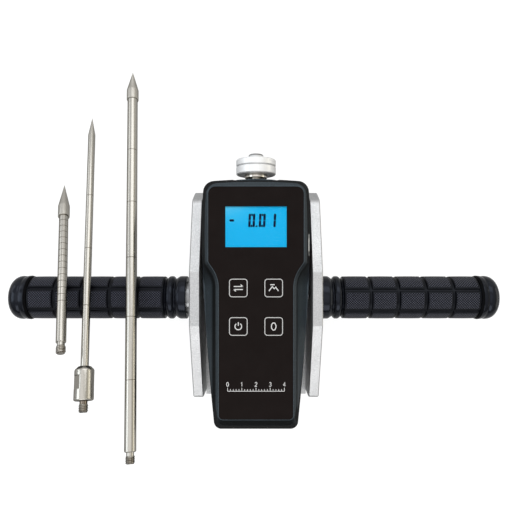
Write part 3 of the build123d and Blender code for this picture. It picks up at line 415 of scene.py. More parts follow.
def darkFilm(name, low, high, gloss):
    # smooth dark skin: printed front film, or the moulded band beside a grip's flange
    finish, tree, shader = newFinish(name, Specular_IOR_Level=gloss)
    coords = objectCoords(tree)
    cloud = noiseOf(tree, coords, 90, 3.0)
    paint(tree, shader, rampOf(tree, cloud, [(0.3, low), (0.7, high)]), rangeOf(tree, cloud, 0.40, 0.50))
    bumpOn(tree, shader, noiseOf(tree, coords, 1800, 2.0), 0.01, 0.2)
    return finish


def printInk(name, tone):
    # screen printed ink with slightly uneven cover
    finish, tree, shader = newFinish(name, Specular_IOR_Level=0.06)
    cover = noiseOf(tree, objectCoords(tree), 1400, 2.0)
    thin, full = shades(tone, 0.86, 1.0)
    paint(tree, shader, rampOf(tree, cover, [(0.3, thin), (0.6, full)]), rangeOf(tree, cover, 0.45, 0.6))
    return finish


def windowClear():
    # clear window with an anti-glare coat, so it hardly mirrors
    finish, tree, shader = newFinish("windowClear", Base_Color=(0.97, 0.985, 1.0, 1), Transmission_Weight=1.0,
                                     IOR=1.08)
    linkTo(tree, rangeOf(tree, noiseOf(tree, objectCoords(tree), 120, 3.0), 0.03, 0.06), shader, "Roughness")
    return finish


glowLook = {  # in metres: where the paler patch fades across and upward, and the painted shadow band under the top edge
    "across": (-0.021, 0.006), "upward": (0.044, 0.060), "band": (0.0585, 0.0594), "shadowBandTone": 0.6,
    "tones": [(0.05, (0.006, 0.40, 0.735)), (0.45, (0.024, 0.44, 0.755)), (0.9, (0.095, 0.53, 0.79))],
}


def displayBlue(look):
    # backlit display: even blue, paler towards its upper left, with a painted shadow in a band under its top edge
    finish, tree, shader = newFinish("displayBlue", Roughness=0.5, Specular_IOR_Level=0.05, Emission_Strength=1.0,
                                     Base_Color=(0.004, 0.05, 0.1, 1))
    coords = objectCoords(tree)
    place = partsOf(tree, coords)
    patch = mathOf(tree, "MULTIPLY", rangeOf(tree, place["X"], 1.0, 0.0, *look["across"]),
                   rangeOf(tree, place["Y"], 0.0, 1.0, *look["upward"]))
    cloud = rangeOf(tree, noiseOf(tree, coords, 70, 2.0), -0.12, 0.12)
    tone = rampOf(tree, mathOf(tree, "ADD", patch, cloud), look["tones"])
    # painted shadow under the display's top edge
    band = rangeOf(tree, place["Y"], 1.0, look["shadowBandTone"], *look["band"])
    linkTo(tree, scaledBy(tree, tone, band), shader, "Emission Color")
    return finish


def plainPlastic(name, tone, low, high):
    # moulded plastic with a fine grain
    finish, tree, shader = newFinish(name, Specular_IOR_Level=0.45)
    grain = noiseOf(tree, objectCoords(tree), 1200, 3.0)
    dull, bright = shades(tone, 0.8, 1.0)
    paint(tree, shader, rampOf(tree, grain, [(0.3, dull), (0.7, bright)]), rangeOf(tree, grain, low, high))
    bumpOn(tree, shader, grain, 0.02, 0.3)
    return finish


def boardGreen():
    # solder mask over faint square traces
    finish, tree, shader = newFinish("boardGreen", Specular_IOR_Level=0.5)
    coords = objectCoords(tree)
    traces = addNode(tree, "ShaderNodeTexBrick", {
        "Vector": coords, "Scale": 220.0, "Mortar Size": 0.03, "Color1": (0.012, 0.13, 0.05, 1),
        "Color2": (0.016, 0.16, 0.065, 1), "Mortar": (0.035, 0.25, 0.11, 1)})
    paint(tree, shader, traces.outputs["Color"], rangeOf(tree, noiseOf(tree, coords, 400, 2.0), 0.25, 0.4))
    return finish


def batterySleeve(bandEnd=(-0.0535, -0.053)):
    # dark sleeve with a bright band at the nub end
    finish, tree, shader = newFinish("batterySleeve", Specular_IOR_Level=0.5)
    coords = objectCoords(tree)
    band = rangeOf(tree, partsOf(tree, coords)["Y"], 0.0, 1.0, *bandEnd)
    tone = rampOf(tree, band, [(0.45, (0.62, 0.38, 0.12)), (0.55, (0.03, 0.03, 0.035))])
    paint(tree, shader, tone, rangeOf(tree, noiseOf(tree, coords, 300, 2.0), 0.28, 0.4))
    return finish


gripShape = {  # millimetres; the knurled rubber reads it too
    "cheekOut": 44.0, "axisHeight": 28.0, "length": 120.3, "boreRadius": 11.1, "endWall": 4.0,
    "ringRadius": 14.75, "padRadius": 14.48, "valleyRadius": 12.8, "flangeRadius": 15.1, "capRadius": 14.9,
    "neckStations": (5.2, 8.0, 9.5, 12.1, 14.3),  # end of the first ring, valley, second ring, valley
    "neckSoft": (0, 0.1, 0.4, 0.9, 1.0, 0.5, 0.9, 0.9, 0.5, 0.5, 0),
    "padStart": 15.2, "padLength": 18.5, "segments": 5, "rows": 6, "groove": 1.8, "grooveDepth": 0.95,
    "padLead": 0.8, "wallLean": 0.05, "crown": 0.1,
    "flangeGap": 0.6, "band": 1.8, "flangeRing": 2.2, "flangeDip": 2.3, "dipDepth": 0.4, "endRound": 6.5,
    "flangeSoft": (0, 0.35, 0.15, 0.15, 0.2, 0.4, 0.5, 0.9, 0.4, 0),
    "dimpleRadius": 6.0, "dimpleDepth": 0.6, "dimpleSoft": 0.3,
    "bandLift": 0.04, "bandDepth": 0.6, "bandGap": 0.1, "bandColumns": 180,
    "knurlCount": 54, "knurlBorder": 1.0,
    "longBlur": 0.4, "ringBlur": 0.3, "borderBlur": 0.25,  # half widths of the soft steps at grooves and knurl
    "rowSpread": (-1.2, -0.5, -0.25, 0.0, 0.25, 0.5, 1.2), "padRows": 70,  # mesh rows at a ring groove and on the pads
    "columnSpread": (-1.9, -1.3, -1.0, -0.7, -0.2, 0.2, 0.7, 1.0, 1.3, 1.9), "padColumns": 14, "padSpan": (0.18, 0.82),
    "hands": {"left": (-1, 3.2, -1.5), "right": (1, 0.3, 6.5)},  # side, gap to the cheek, turn of the pads
}

finishes = {
    "frame_alloy": blastedAlloy(),
    "bar_steel": polishedSteel("barChrome", (0.31, 0.315, 0.32), 0.20, 0.32),
    "fastener_steel": polishedSteel("fastenerSteel", (0.52, 0.52, 0.53), 0.26, 0.4),
    "grip_rubber": gripRubber(gripShape),
    "grip_smooth": smoothRubber(),
    "grip_band": darkFilm("gripBand", (0.0018, 0.0019, 0.0024), (0.0028, 0.0029, 0.0034), 0.03),
    "case_plastic": casePlastic(caseLook),
    "panel_film": darkFilm("panelFilm", (0.0102, 0.0074, 0.0069), (0.0122, 0.0091, 0.0085), 0.03),
    "window_clear": windowClear(),
    "display_blue": displayBlue(glowLook),
    "light_guide": plainPlastic("lightGuide", (0.85, 0.92, 0.95), 0.35, 0.5),
    "board_green": boardGreen(),
    "switch_black": plainPlastic("switchBlack", (0.03, 0.03, 0.03), 0.4, 0.55),
    "port_metal": polishedSteel("portMetal", (0.74, 0.725, 0.68), 0.24, 0.36),
    "disc_alloy": turnedAlloy(discToneLook),
    "stud_nickel": polishedSteel("studNickel", (0.74, 0.70, 0.63), 0.08, 0.16),
    "cell_alloy": polishedSteel("cellAlloy", (0.62, 0.62, 0.64), 0.3, 0.45),
    "battery_sleeve": batterySleeve(),
    "contact_brass": polishedSteel("contactBrass", (0.72, 0.60, 0.36), 0.2, 0.34),
    "probe_steel": probeSteel("probeSteel", 0.19, 0.22),
    "cone_steel": probeSteel("coneSteel", 0.36, 0.42),
    "print": printInk("printInk", (0.60, 0.59, 0.58)),
    "legend": printInk("legendInk", (0.72, 0.71, 0.70)),
    "digits": printInk("digitInk", (0.002, 0.006, 0.030)),
}
finishes["key_film"] = finishes["panel_film"]

for part in frame["record"]["subparts"]:
    item = frame["nodes"][part["node"]]
    item.data.materials.clear()
    item.data.materials.append(finishes[part["material_slot"]])


# rubber grips

def flangeStations(shape):
    # where the last pad ends and where the band, the flange ring, the dip and the cap start
    last = shape["padStart"] + shape["padLength"] * shape["segments"] - shape["groove"]
    steps = [shape[key] for key in ("flangeGap", "band", "flangeRing", "flangeDip")]
    return last, *(last + np.cumsum(steps))


def gripPath(shape):
    # half outline of a grip in two runs: from the blind end of its bore round the neck to the first pad, and from
    # the last pad up a band to the flange ring, over a dip to the cap, a quarter circle that turns into the end face
    bore, ring, pad = shape["boreRadius"], shape["ringRadius"], shape["padRadius"]
    valley, flange, cap = shape["valleyRadius"], shape["flangeRadius"], shape["capRadius"]
    start, length, lead, lean = shape["padStart"], shape["length"], shape["padLead"], shape["wallLean"]
    blind = length - shape["endWall"]
    neckRun = zip(shape["neckStations"], (ring, valley, ring, ring, valley))
    neck = softPath([(blind, 0), (blind, bore), (0, bore), (0, ring), *neckRun, (start, pad), (start + lead, pad)],
                    shape["neckSoft"])
    last, bandStart, ringStart, ringEnd, capStart = flangeStations(shape)
    low = pad - shape["grooveDepth"]
    curve = shape["endRound"]
    flangeRun = softPath([(last - lead, pad), (last, pad), (last + lean, low), (bandStart - lean, low),
                          (bandStart, pad), (ringStart, flange), (ringEnd, cap),
                          ((ringEnd + capStart) / 2, cap - shape["dipDepth"]), (capStart, cap), (length - curve, cap)],
                         shape["flangeSoft"])
    turn = np.linspace(0, np.pi / 2, 14)[1:]
    endRun = np.column_stack([length - curve + curve * np.sin(turn), cap - curve + curve * np.cos(turn)])
    dimple, deep = shape["dimpleRadius"], shape["dimpleDepth"]
    face = softPath([(length, dimple + deep), (length, dimple), (length - deep, dimple - deep), (length - deep, 0)],
                    shape["dimpleSoft"])
    return neck, np.vstack([flangeRun, endRun, face])


def softStep(value, edge, blur):
    # 0 below edge - blur, 1 above edge + blur, smooth between
    t = np.clip((value - edge + blur) / (2 * blur), 0, 1)
    return t * t * (3 - 2 * t)


def rubberGrip(name, shape, place, turn):
    # the half outline carried round the axis; soft steps cut the grooves between the pads, and a parabola along each
    # pad gives it a crown
    neck, flangeRun = gripPath(shape)
    padStart, segment, groove = shape["padStart"], shape["padLength"], shape["groove"]
    padEnd = padStart + segment * shape["segments"]
    padTop = segment - groove
    # rows gather at the ring grooves and columns at the long grooves
    edges = padStart + np.arange(1, shape["segments"])[:, None] * segment - np.array([[0, groove]])
    spread = np.array(shape["rowSpread"])
    even = np.linspace(padStart + spread[-1], padEnd - groove + spread[0], shape["padRows"])
    rows = np.unique(np.round(np.concatenate([(edges.reshape(-1, 1) + spread).ravel(), even]), 4))
    path = np.vstack([neck, np.column_stack([rows, np.full(len(rows), shape["padRadius"])]), flangeRun])
    station, base = path[:, 0], path[:, 1]
    rowAngle = 2 * np.pi / shape["rows"]
    centres = math.radians(turn) + rowAngle * (np.arange(shape["rows"]) + 0.5)
    fine = np.array(shape["columnSpread"]) * groove / 2 / shape["padRadius"]
    pads = centres[:, None] + np.linspace(*shape["padSpan"], shape["padColumns"]) * rowAngle
    angles = np.sort(np.mod(np.concatenate([(centres[:, None] + fine).ravel(), pads.ravel()]), 2 * np.pi))
    # distance of each point from the middle of the nearest long groove and into its segment; the slopes beside the
    # pads don't count as pads
    away = np.abs(np.mod(angles[None] - centres[:, None] + np.pi, 2 * np.pi) - np.pi).min(0) * shape["padRadius"]
    local = np.mod(station - padStart, segment)
    inPads = (station > padStart - 0.1) & (station < padEnd - groove + 0.02) & (base > shape["padRadius"] - 0.6)
    longGroove = 1 - softStep(away, groove / 2, shape["longBlur"])
    ringGroove = softStep(local, padTop, shape["ringBlur"]) * (station < padEnd - groove - 1)
    ringStart = (1 - softStep(local, 0.0, shape["ringBlur"])) * (station > padStart + 1) * (local < 1)
    cut = np.maximum(longGroove[None], np.maximum(ringGroove, ringStart)[:, None]) * inPads[:, None]
    pillow = np.clip(1 - (2 * local / padTop - 1) ** 2, 0, 1)
    radius = base[:, None] - shape["grooveDepth"] * cut + shape["crown"] * (pillow * inPads)[:, None] * (1 - cut)
    piece = lathePiece(name, station, radius, place, "gauge", finishes["grip_rubber"], angles,
                       shape["padRadius"])
    # rings, flange, cap and bore are of the smooth rubber
    piece.data.materials.append(finishes["grip_smooth"])
    onPad = inPads[1:-1]
    smooth = np.append(np.repeat(~(onPad[:-1] & onPad[1:]), len(angles)), np.ones(2 * len(angles)))
    piece.data.polygons.foreach_set("material_index", smooth.astype(np.int32))
    # the knurl covers each pad up to a smooth border
    border, blur = shape["knurlBorder"], shape["borderBlur"]
    insideRow = softStep(away, groove / 2 + border, blur)
    insideRing = softStep(local, border, blur) * (1 - softStep(local, padTop - border, blur))
    pointValues(piece, "knurl", insideRow[None] * (insideRing * inPads)[:, None])
    return piece


def bandRing(name, shape, place):
    # smooth black ring with upright ends on the slope between the last pad and the flange ring
    start, end = flangeStations(shape)[1:3]
    end -= shape["bandGap"]
    low, high = shape["padRadius"] + shape["bandLift"], shape["flangeRadius"]
    under = low - shape["bandDepth"]
    path = np.array([(start, under), (start, low), (end, high), (end, under)])
    return lathePiece(name, path[:, 0], np.repeat(path[:, 1:], shape["bandColumns"], axis=1), place, "gauge",
                      finishes["grip_band"])


for hand, (side, gap, turn) in gripShape["hands"].items():
    origin = side * (gripShape["cheekOut"] + gap), 0, gripShape["axisHeight"]
    place = origin, (side, 0, 0), (0, 0, 1), (0, -side, 0)  # origin, along, side and up
    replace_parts(rubberGrip(hand + "GripRubber", gripShape, place, turn), hand + "_grip")
    bandRing(hand + "GripBand", gripShape, place)
print("grips made")


# screw-on probes

probeShape = {  # millimetres; a cone is its radius, the length of its point and its whole length
    "lie": 0.3, "gripAxis": 28.0, "gripRadius": 14.6, "neckRadius": 2.35, "neck": 2.0, "edge": 0.6,
    "threadRadius": 3.0, "pitch": 1.0, "threadDepth": 0.58, "grooveTop": 1.15, "grooveSlope": 2.3,
    "runIn": (0.5, 0.25), "threadDark": 0.6, "rowsPerPitch": 12,
    "spigotRadius": 2.0, "spigot": 8.0, "fit": 0.1, "seamEdge": 0.2,
    "markDepth": 0.15, "markWidth": 0.4, "markFloor": 0.7, "columns": 64, "tipShare": 0.02,
    "long": {"tip": (-92.4, 166.9), "heading": 3.6, "rod": 3.625, "length": 275.0, "stub": 6.7,
             "cone": (4.25, 15.8, 23.8), "marks": (65.6, 40.0, 5)},  # first mark, pitch and count
    "short": {"tip": (-143.7, 82.5), "heading": 11.6, "rod": 3.125, "length": 135.0, "stub": 7.0,
              "cone": (4.0, 20.4, 29.9), "marks": (34.5, 5.0, 14)},
    "needle": {"tip": (-122.8, 132.8), "heading": 4.9, "rod": 2.5, "length": 213.0, "stub": 7.0,
               "cone": (2.5, 15.0, 15.0), "marks": (65.5, 40.0, 3), "seat": 10.5,
               "adapter": {"radius": 6.0, "length": 21.0, "flat": 5.0, "flatStart": 5.5, "flatLength": 8.6,
                           "flatStep": 0.01, "chamfer": 2.2, "edge": 0.6, "neckFloor": 0.3, "turn": 132.0}},
}


def probePlace(shape, probe):
    # the probe is the tangent from its tip on the table to the grip below it; up is square to it, off the table
    tipX, tipY = probe["tip"]
    reach = shape["gripRadius"] + probe["rod"] + shape["lie"]
    rise = shape["gripAxis"] - shape["lie"]
    slope = math.atan2(rise, tipY) + math.asin(reach / math.hypot(rise, tipY))
    along = np.array([math.tan(math.radians(probe["heading"])), -1.0, math.tan(slope)])
    along /= np.linalg.norm(along)
    right = np.cross((0, 0, 1), along)
    right /= np.linalg.norm(right)
    return (tipX, tipY, shape["lie"]), along, right, np.cross(along, right)


def tipRing(shape, probe):
    # a small ring just behind the point keeps the cone's shading straight up to it
    return shape["tipShare"] * probe["cone"][1], shape["tipShare"] * probe["cone"][0]


def markSteps(shape, radius, first, pitch, count):
    # turned depth marks as steps in the half outline
    middles = first + pitch * np.arange(count)
    half, deep = shape["markWidth"] / 2, radius - shape["markDepth"]
    floor = half * shape["markFloor"]
    stations = middles[:, None] + np.array([[-half, -floor, floor, half]])
    radii = np.broadcast_to([radius, deep, deep, radius], stations.shape)
    return np.column_stack([stations.ravel(), radii.ravel()])


def stubSteps(shape, shoulder, end):
    # undercut neck and threaded stub
    neck, thread, edge = shape["neckRadius"], shape["threadRadius"], shape["edge"]
    neckEnd = shoulder + shape["neck"]
    return np.array([(shoulder, neck), (neckEnd, neck), (neckEnd + thread - neck, thread), (end - edge, thread),
                     (end, thread - edge), (end, 0)])


def turnedPiece(name, node, shape, probe, path, body, threadFrom=None, flats=None, finish="probe_steel"):
    # surface of revolution; past threadFrom a V groove winds round it once per pitch, and two flats may cut it
    columns = shape["columns"]
    angles = np.arange(columns) * 2 * np.pi / columns
    if threadFrom is not None:
        path = fillPath(path, threadFrom, path[:, 0].max(), shape["pitch"] / shape["rowsPerPitch"])
    station = path[:, 0]
    radius = np.repeat(path[:, 1:], columns, axis=1)
    # darker on mark floors and in the thread's groove
    dark = np.isclose(radius, probe["rod"] - shape["markDepth"]).astype(float)
    if threadFrom is not None:
        runIn, blur = shape["runIn"]  # the groove starts softly and leaves the neck plain
        phase = np.mod(station[:, None] / shape["pitch"] - angles[None] / (2 * np.pi), 1)
        groove = np.clip(shape["grooveTop"] - shape["grooveSlope"] * np.abs(phase - 0.5), 0, 1)
        groove *= softStep(station, threadFrom + runIn, blur)[:, None] * (radius > shape["neckRadius"] + 0.02)
        radius = np.where(radius > 0, np.maximum(radius - shape["threadDepth"] * groove, 0.01), 0)
        dark = np.maximum(dark, shape["threadDark"] * groove)
    if flats is not None:
        # a flat's distance from the axis grows with one over the cosine of the angle from its middle
        start, end, half, turn = flats
        facing = np.abs(np.cos(angles - math.radians(turn)))
        flatRadius = half / np.maximum(facing, 0.05)
        inFlat = ((station > start) & (station < end))[:, None]
        radius = np.where(inFlat, np.minimum(radius, flatRadius[None]), radius)
    piece = lathePiece(name, station, radius, probePlace(shape, probe), body, finishes[finish])
    pointValues(piece, "mark", dark)
    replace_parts(piece, node)


for name in ("long", "short"):
    probe = probeShape[name]
    coneRadius, coneLength, coneEnd = probe["cone"]
    rod, edge, seam = probe["rod"], probeShape["edge"], probeShape["seamEdge"]
    spigot, depth = probeShape["spigotRadius"], coneEnd - probeShape["spigot"]
    bore, blind = spigot + probeShape["fit"], depth - probeShape["fit"]
    shoulder = probe["length"] - probe["stub"]
    conePath = softPath([(0, 0), tipRing(probeShape, probe), (coneLength, coneRadius), (coneEnd, coneRadius),
                         (coneEnd, bore), (blind, bore), (blind, 0)], [0, 0, 0.5, 0.2, 0.1, 0.1, 0])
    rodPath = np.vstack([
        [(depth, 0), (depth, spigot), (coneEnd, spigot), (coneEnd, rod - seam), (coneEnd + seam, rod)],
        markSteps(probeShape, rod, *probe["marks"]),
        [(shoulder - edge, rod), (shoulder, rod - edge)],
        stubSteps(probeShape, shoulder, probe["length"]),
    ])
    turnedPiece(name + "ProbeCone", name + "_cone", probeShape, probe, conePath, name + "_probe", finish="cone_steel")
    turnedPiece(name + "ProbeRod", name + "_rod", probeShape, probe, rodPath, name + "_probe",
                shoulder + probeShape["neck"])

probe = probeShape["needle"]
adapter = probe["adapter"]
shoulder = probe["length"] - probe["stub"]
start = shoulder - adapter["length"]
seat = start + probe["seat"]
rod, fit = probe["rod"], probeShape["fit"]
needlePath = np.vstack([[(0, 0), tipRing(probeShape, probe), (probe["cone"][1], rod)],
                        markSteps(probeShape, rod, *probe["marks"]), [(seat, rod), (seat, 0)]])
turnedPiece("needleProbeRod", "needle_rod", probeShape, probe, needlePath, "needle_probe")
body, chamfer, edge, step = (adapter[key] for key in ("radius", "chamfer", "edge", "flatStep"))
flatStart = start + adapter["flatStart"]
flatEnd = flatStart + adapter["flatLength"]
adapterPath = np.vstack([
    softPath([(seat + fit, 0), (seat + fit, rod + fit), (start, rod + fit), (start, body - chamfer),
              (start + chamfer, body), (flatStart - step, body), (flatStart + step, body), (flatEnd - step, body),
              (flatEnd + step, body), (shoulder - edge, body), (shoulder, body - edge),
              (shoulder, probeShape["neckRadius"] + adapter["neckFloor"])],
             [0, 0.05, 0.1, 0.4, 0.8, 0, 0, 0, 0, 0.3, 0.3, 0]),
    stubSteps(probeShape, shoulder, probe["length"]),
])
turnedPiece("needleProbeAdapter", "needle_adapter", probeShape, probe, adapterPath, "needle_probe",
            shoulder + probeShape["neck"], (flatStart, flatEnd, adapter["flat"], adapter["turn"]))
print("probes made")


# prints on the keys, the panel and the display

printLook = {  # millimetres; places are the keys' middles
    "keyTop": 59.1, "panelTop": 58.8, "lift": 0.03, "sink": 0.02, "legend": 0.6,
    "keySize": 12.2, "outline": 0.5, "outlineInset": 0.5, "outlineCorner": 1.7,
    "keys": {"unit_key": (-11.2, 7.9), "peak_key": (11.2, 7.9),
             "power_key": (-11.2, -16.45), "zero_key": (11.2, -16.45)},
}


def printOn(name, strokes, top, body, ink):
    # bands of ink on a face at the height top, sunk into it a little
    ribbonPiece(name, strokes, top - printLook["sink"], top + printLook["lift"], body, finishes[ink])


def arcLine(centre, radii, fromAngle, toAngle, count=24):
    # points on an ellipse between two angles in degrees
    angle = np.radians(np.linspace(fromAngle, toAngle, count))
    return np.column_stack([centre[0] + radii[0] * np.cos(angle), centre[1] + radii[1] * np.sin(angle)])


def roundedSquare(centre, size, corner):
    # four quarter circles joined by straight sides
    reach = size / 2 - corner
    quarters = [arcLine((centre[0] + reach * sx, centre[1] + reach * sy), (corner, corner), start, start + 90, 8)
                for sx, sy, start in ((1, 1, 0), (-1, 1, 90), (-1, -1, 180), (1, -1, 270))]
    return np.vstack(quarters)


keyLegends = {  # plain signs round the key's middle, each line open or closed
    "unit_key": [([[-2.9, 0.95], [2.9, 0.95]], False), ([[1.5, 2.1], [2.9, 0.95]], False),  # two-way arrows
                 ([[2.9, -0.95], [-2.9, -0.95]], False), ([[-1.5, -2.1], [-2.9, -0.95]], False)],
    "peak_key": [([[-3.0, -1.9], [-0.9, 0.9], [0.3, -0.5], [1.3, 0.5], [3.0, -1.9]], False),  # a peak under a bar
                 ([[-2.2, 2.1], [0.6, 2.1]], False)],
    "power_key": [(arcLine((0, 0), (2.1, 2.1), 125, 415, 40), False), ([[0, 0.4], [0, 2.7]], False)],
    "zero_key": [(arcLine((0, 0), (1.45, 2.3), 0, 352, 45), True)],  # a nought
}

for key, (x, y) in printLook["keys"].items():
    square = roundedSquare((x, y), printLook["keySize"] - 2 * printLook["outlineInset"], printLook["outlineCorner"])
    printOn(key + "Outline", [(square, printLook["outline"], True)], printLook["keyTop"], key, "print")
    legend = [(np.add(line, (x, y)), printLook["legend"], closed) for line, closed in keyLegends[key]]
    printOn(key + "Legend", legend, printLook["keyTop"], key, "legend")

scaleLook = {"y": -57.5, "half": 18.0, "steps": 20, "longEvery": 5, "tick": 1.3, "longTick": 2.2, "width": 0.35,
             "digit": (1.5, 2.5), "digitLift": 0.9, "stroke": 0.4, "labels": ("0", "1", "2", "3", "4")}
digitLines = {  # in a box one wide and one high
    "0": arcLine((0.5, 0.5), (0.42, 0.5), 0, 345, 24),
    "1": np.array([[0.25, 0.75], [0.55, 1.0], [0.55, 0.0]]),
    "2": np.vstack([arcLine((0.5, 0.72), (0.4, 0.28), 165, -40, 14), [[0.08, 0.0], [0.92, 0.0]]]),
    "3": np.vstack([arcLine((0.48, 0.74), (0.38, 0.26), 150, -75, 12),
                    arcLine((0.48, 0.26), (0.42, 0.27), 75, -150, 12)]),
    "4": np.array([[0.68, 0.0], [0.68, 1.0], [0.08, 0.3], [0.95, 0.3]]),
}


def scaleStrokes(look):
    # a plain depth scale: base line, ticks and one digit over every long tick
    base, every = look["y"], look["longEvery"]
    places = np.linspace(-look["half"], look["half"], look["steps"] + 1)
    strokes = [([[-look["half"], base], [look["half"], base]], look["width"], False)]
    for i, x in enumerate(places):
        rise = look["tick"] if i % every else look["longTick"]
        strokes.append(([[x, base], [x, base + rise]], look["width"], False))
    wide, high = look["digit"]
    for label, x in zip(look["labels"], places[::every]):
        spot = np.array([x - wide / 2, base + look["longTick"] + look["digitLift"]])
        strokes.append((spot + digitLines[label] * [wide, high], look["stroke"], label == "0"))
    return strokes


printOn("panelScale", scaleStrokes(scaleLook), printLook["panelTop"], "gauge", "legend")

digitLook = {  # millimetres; cells give the left side of each digit, minus its ends and height
    "top": 55.7, "base": 46.65, "height": 8.6, "cell": 4.25, "bar": 1.5, "gap": 0.12, "slant": 0.05,
    "taper": 0.35, "tipShare": 0.4, "corner": 0.5, "cells": {"0": (-5.05, 1.65), "1": (8.3,)},
    "minus": (-17.2, -14.2, 50.95), "minusEnd": 0.6, "point": (0.35, 47.2), "pointSize": 1.1,
    "lit": {"0": ("top", "low", "left", "right"), "1": ("right",)},
}


def segmentStroke(start, end, look, startWidth=1.0, endWidth=1.0):
    # one display segment: a leaning bar whose ends may taper
    start, end = np.asarray(start, float), np.asarray(end, float)
    length = np.linalg.norm(end - start)
    way = (end - start) / length
    tip = min(look["bar"] * look["taper"], look["tipShare"] * length)
    points = np.array([start, start + way * tip, end - way * tip, end])
    points[:, 0] += look["slant"] * (points[:, 1] - look["base"])
    return points, np.array([startWidth, 1, 1, endWidth]) * look["bar"], False


def displayStrokes(look):
    # upright bars reach the digit's corners and part at half height, level bars stand between them
    bar, gap, corner = look["bar"], look["gap"], look["corner"]
    low, high = look["base"], look["base"] + look["height"]
    middle = (low + high) / 2
    strokes = []
    for sign, places in look["cells"].items():
        for x in places:
            sides = {"left": x + bar / 2, "right": x + look["cell"] - bar / 2}
            levels = {"low": low + bar / 2, "top": high - bar / 2}
            for side in look["lit"][sign]:
                if side in sides:
                    spot = sides[side]
                    strokes.append(segmentStroke((spot, low), (spot, middle - gap), look, corner))
                    strokes.append(segmentStroke((spot, middle + gap), (spot, high), look, 1.0, corner))
                else:
                    spot = levels[side]
                    strokes.append(segmentStroke((x + bar + gap, spot), (x + look["cell"] - bar - gap, spot), look))
    x0, x1, y = look["minus"]
    strokes.append(segmentStroke((x0, y), (x1, y), look, look["minusEnd"], look["minusEnd"]))
    x, y = look["point"]
    half = look["pointSize"] / 2
    strokes.append((np.array([[x - half, y], [x + half, y]]), look["pointSize"], False))
    return strokes


printOn("displayDigits", displayStrokes(digitLook), digitLook["top"], "gauge", "digits")
print("prints made")


# floor, light and camera

stage = {"floor": 4.0, "drop": 0.0003, "floorTone": (0.22, 0.22, 0.22), "floorGlow": 0.88, "inMetal": 0.4}


def straightRays(tree, rays):
    # 1 for rays that come from the camera, through glass too
    return mathOf(tree, "MAXIMUM", rays["Is Camera Ray"], rays["Is Transmission Ray"])


floorMesh = bpy.data.meshes.new("floor")
corners = np.array([(-1, -1, 0), (1, -1, 0), (1, 1, 0), (-1, 1, 0)]) * stage["floor"] - (0, 0, stage["drop"])
floorMesh.from_pydata(corners.tolist(), [], [(0, 1, 2, 3)])
floor = bpy.data.objects.new("floor", floorMesh)
bpy.context.scene.collection.objects.link(floor)
floorFinish = bpy.data.materials.new("paleFloor")
floorFinish.use_nodes = True
tree = floorFinish.node_tree
tree.nodes.clear()
rays = addNode(tree, "ShaderNodeLightPath").outputs
seen = mathOf(tree, "MAXIMUM", straightRays(tree, rays),
              mathOf(tree, "MULTIPLY", rays["Is Glossy Ray"], stage["inMetal"]))
paper = addNode(tree, "ShaderNodeBsdfDiffuse", {"Color": (*stage["floorTone"], 1)})
glow = addNode(tree, "ShaderNodeEmission", {"Color": (1, 1, 1, 1),
                                            "Strength": mathOf(tree, "MULTIPLY", seen, stage["floorGlow"])})
mixed = addNode(tree, "ShaderNodeAddShader", {0: paper.outputs["BSDF"], 1: glow.outputs["Emission"]})
addNode(tree, "ShaderNodeOutputMaterial", {"Surface": mixed.outputs["Shader"]})
floorMesh.materials.append(floorFinish)

# studio sky by direction: brightest in a band over the middle, cool on the left, warm on the right, dim to the
# south and towards the horizon except in the north
skyLook = {
    "across": [(0.0, (0.62, 0.655, 0.69)), (0.2, (0.69, 0.72, 0.74)), (0.29, (0.75, 0.765, 0.78)),
               (0.37, (0.86, 0.86, 0.87)), (0.76, (0.86, 0.85, 0.83)), (0.86, (0.56, 0.54, 0.48)),
               (1.0, (0.80, 0.76, 0.64))],
    "along": [(0.0, 0.3), (0.25, 0.75), (0.5, 1.0), (1.0, 1.0)],
    "low": (0.3, 1.05), "lowFrom": (0.1, 0.7), "rise": 0.5, "horizon": (0.03, 0.09),
}
world = bpy.data.worlds.new("studio")
bpy.context.scene.world = world
world.use_nodes = True
tree = world.node_tree
tree.nodes.clear()
way = partsOf(tree, addNode(tree, "ShaderNodeTexCoord").outputs["Generated"])
across = rampOf(tree, rangeOf(tree, way["X"], 0.0, 1.0, -1.0, 1.0), skyLook["across"])
along = rampOf(tree, rangeOf(tree, way["Y"], 0.0, 1.0, -1.0, 1.0), skyLook["along"])
low = rangeOf(tree, way["Y"], *skyLook["low"], *skyLook["lowFrom"])
upward = rangeOf(tree, way["Z"], low, 1.0, 0.0, skyLook["rise"])
sky = scaledBy(tree, across, mathOf(tree, "MULTIPLY", along, upward))
studio = addNode(tree, "ShaderNodeBackground", {"Color": sky, "Strength": 1.0})
white = addNode(tree, "ShaderNodeBackground", {"Color": (1, 1, 1, 1), "Strength": 1.0})
rays = addNode(tree, "ShaderNodeLightPath").outputs
horizon = mathOf(tree, "MULTIPLY", rays["Is Glossy Ray"], rangeOf(tree, way["Z"], 1.0, 0.0, *skyLook["horizon"]))
seen = mathOf(tree, "MAXIMUM", straightRays(tree, rays), horizon)
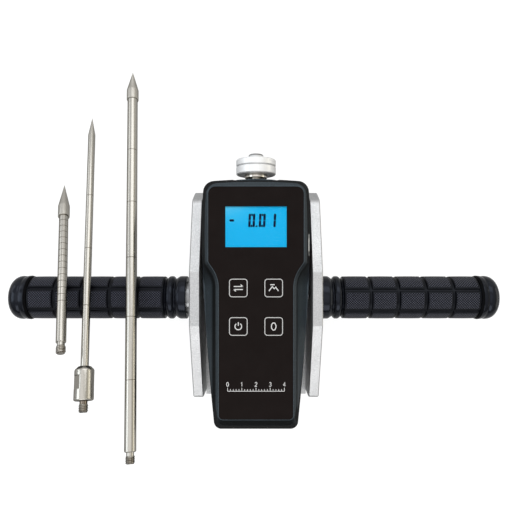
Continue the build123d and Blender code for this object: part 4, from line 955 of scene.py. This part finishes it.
mixed = addNode(tree, "ShaderNodeMixShader", {0: seen, 1: studio.outputs["Background"],
                                              2: white.outputs["Background"]})
addNode(tree, "ShaderNodeOutputWorld", {"Surface": mixed.outputs["Shader"]})

lampAim = Vector((0, 0, 0.03))
lamps = {  # place, size, power, tint
    "northBox": ((0.18, 0.72, 0.70), (0.9, 0.55), 1.9, (0.95, 0.98, 1.0)),
    "southBox": ((0.0, -0.78, 0.60), (1.1, 0.5), 3.1, (1.0, 1.0, 1.0)),
    "topBox": ((-0.12, 0.05, 0.95), (0.75, 1.1), 0.9, (1.0, 1.0, 1.0)),
    "leftBox": ((-0.68, 0.05, 0.52), (0.5, 0.35), 1.0, (0.90, 0.96, 1.0)),
    "cornerBox": ((-0.80, 0.50, 0.30), (0.5, 0.3), 0.5, (0.96, 0.98, 1.0)),
    "rightBox": ((0.90, 0.0, 0.20), (0.9, 0.3), 1.1, (1.0, 0.95, 0.82)),
}
for name, (place, size, power, tint) in lamps.items():
    data = bpy.data.lights.new(name, "AREA")
    data.shape = "RECTANGLE"
    data.size, data.size_y = size
    data.energy = power
    data.color = tint
    lamp = bpy.data.objects.new(name, data)
    lamp.location = place
    lamp.rotation_mode = "QUATERNION"
    lamp.rotation_quaternion = (lampAim - Vector(place)).to_track_quat("-Z", "Y")
    bpy.context.scene.collection.objects.link(lamp)

view = {"place": (0.0, 0.02245, 0.3755), "sensor": 36.0, "clip": (0.01, 20.0),
        "frame": 510.0, "focal": 500.0, "axis": (256.0, 265.0)}  # these three in the picture's pixels
camData = bpy.data.cameras.new("overhead")
camData.sensor_width = view["sensor"]
camData.lens = view["sensor"] * view["focal"] / view["frame"]
camData.shift_x = (view["frame"] / 2 - view["axis"][0]) / view["frame"]
camData.shift_y = (view["axis"][1] - view["frame"] / 2) / view["frame"]
camData.clip_start, camData.clip_end = view["clip"]
camera = bpy.data.objects.new("overhead", camData)
camera.location = view["place"]
bpy.context.scene.collection.objects.link(camera)
bpy.context.scene.camera = camera
bpy.context.scene.view_settings.view_transform = "Standard"
print("stage made")
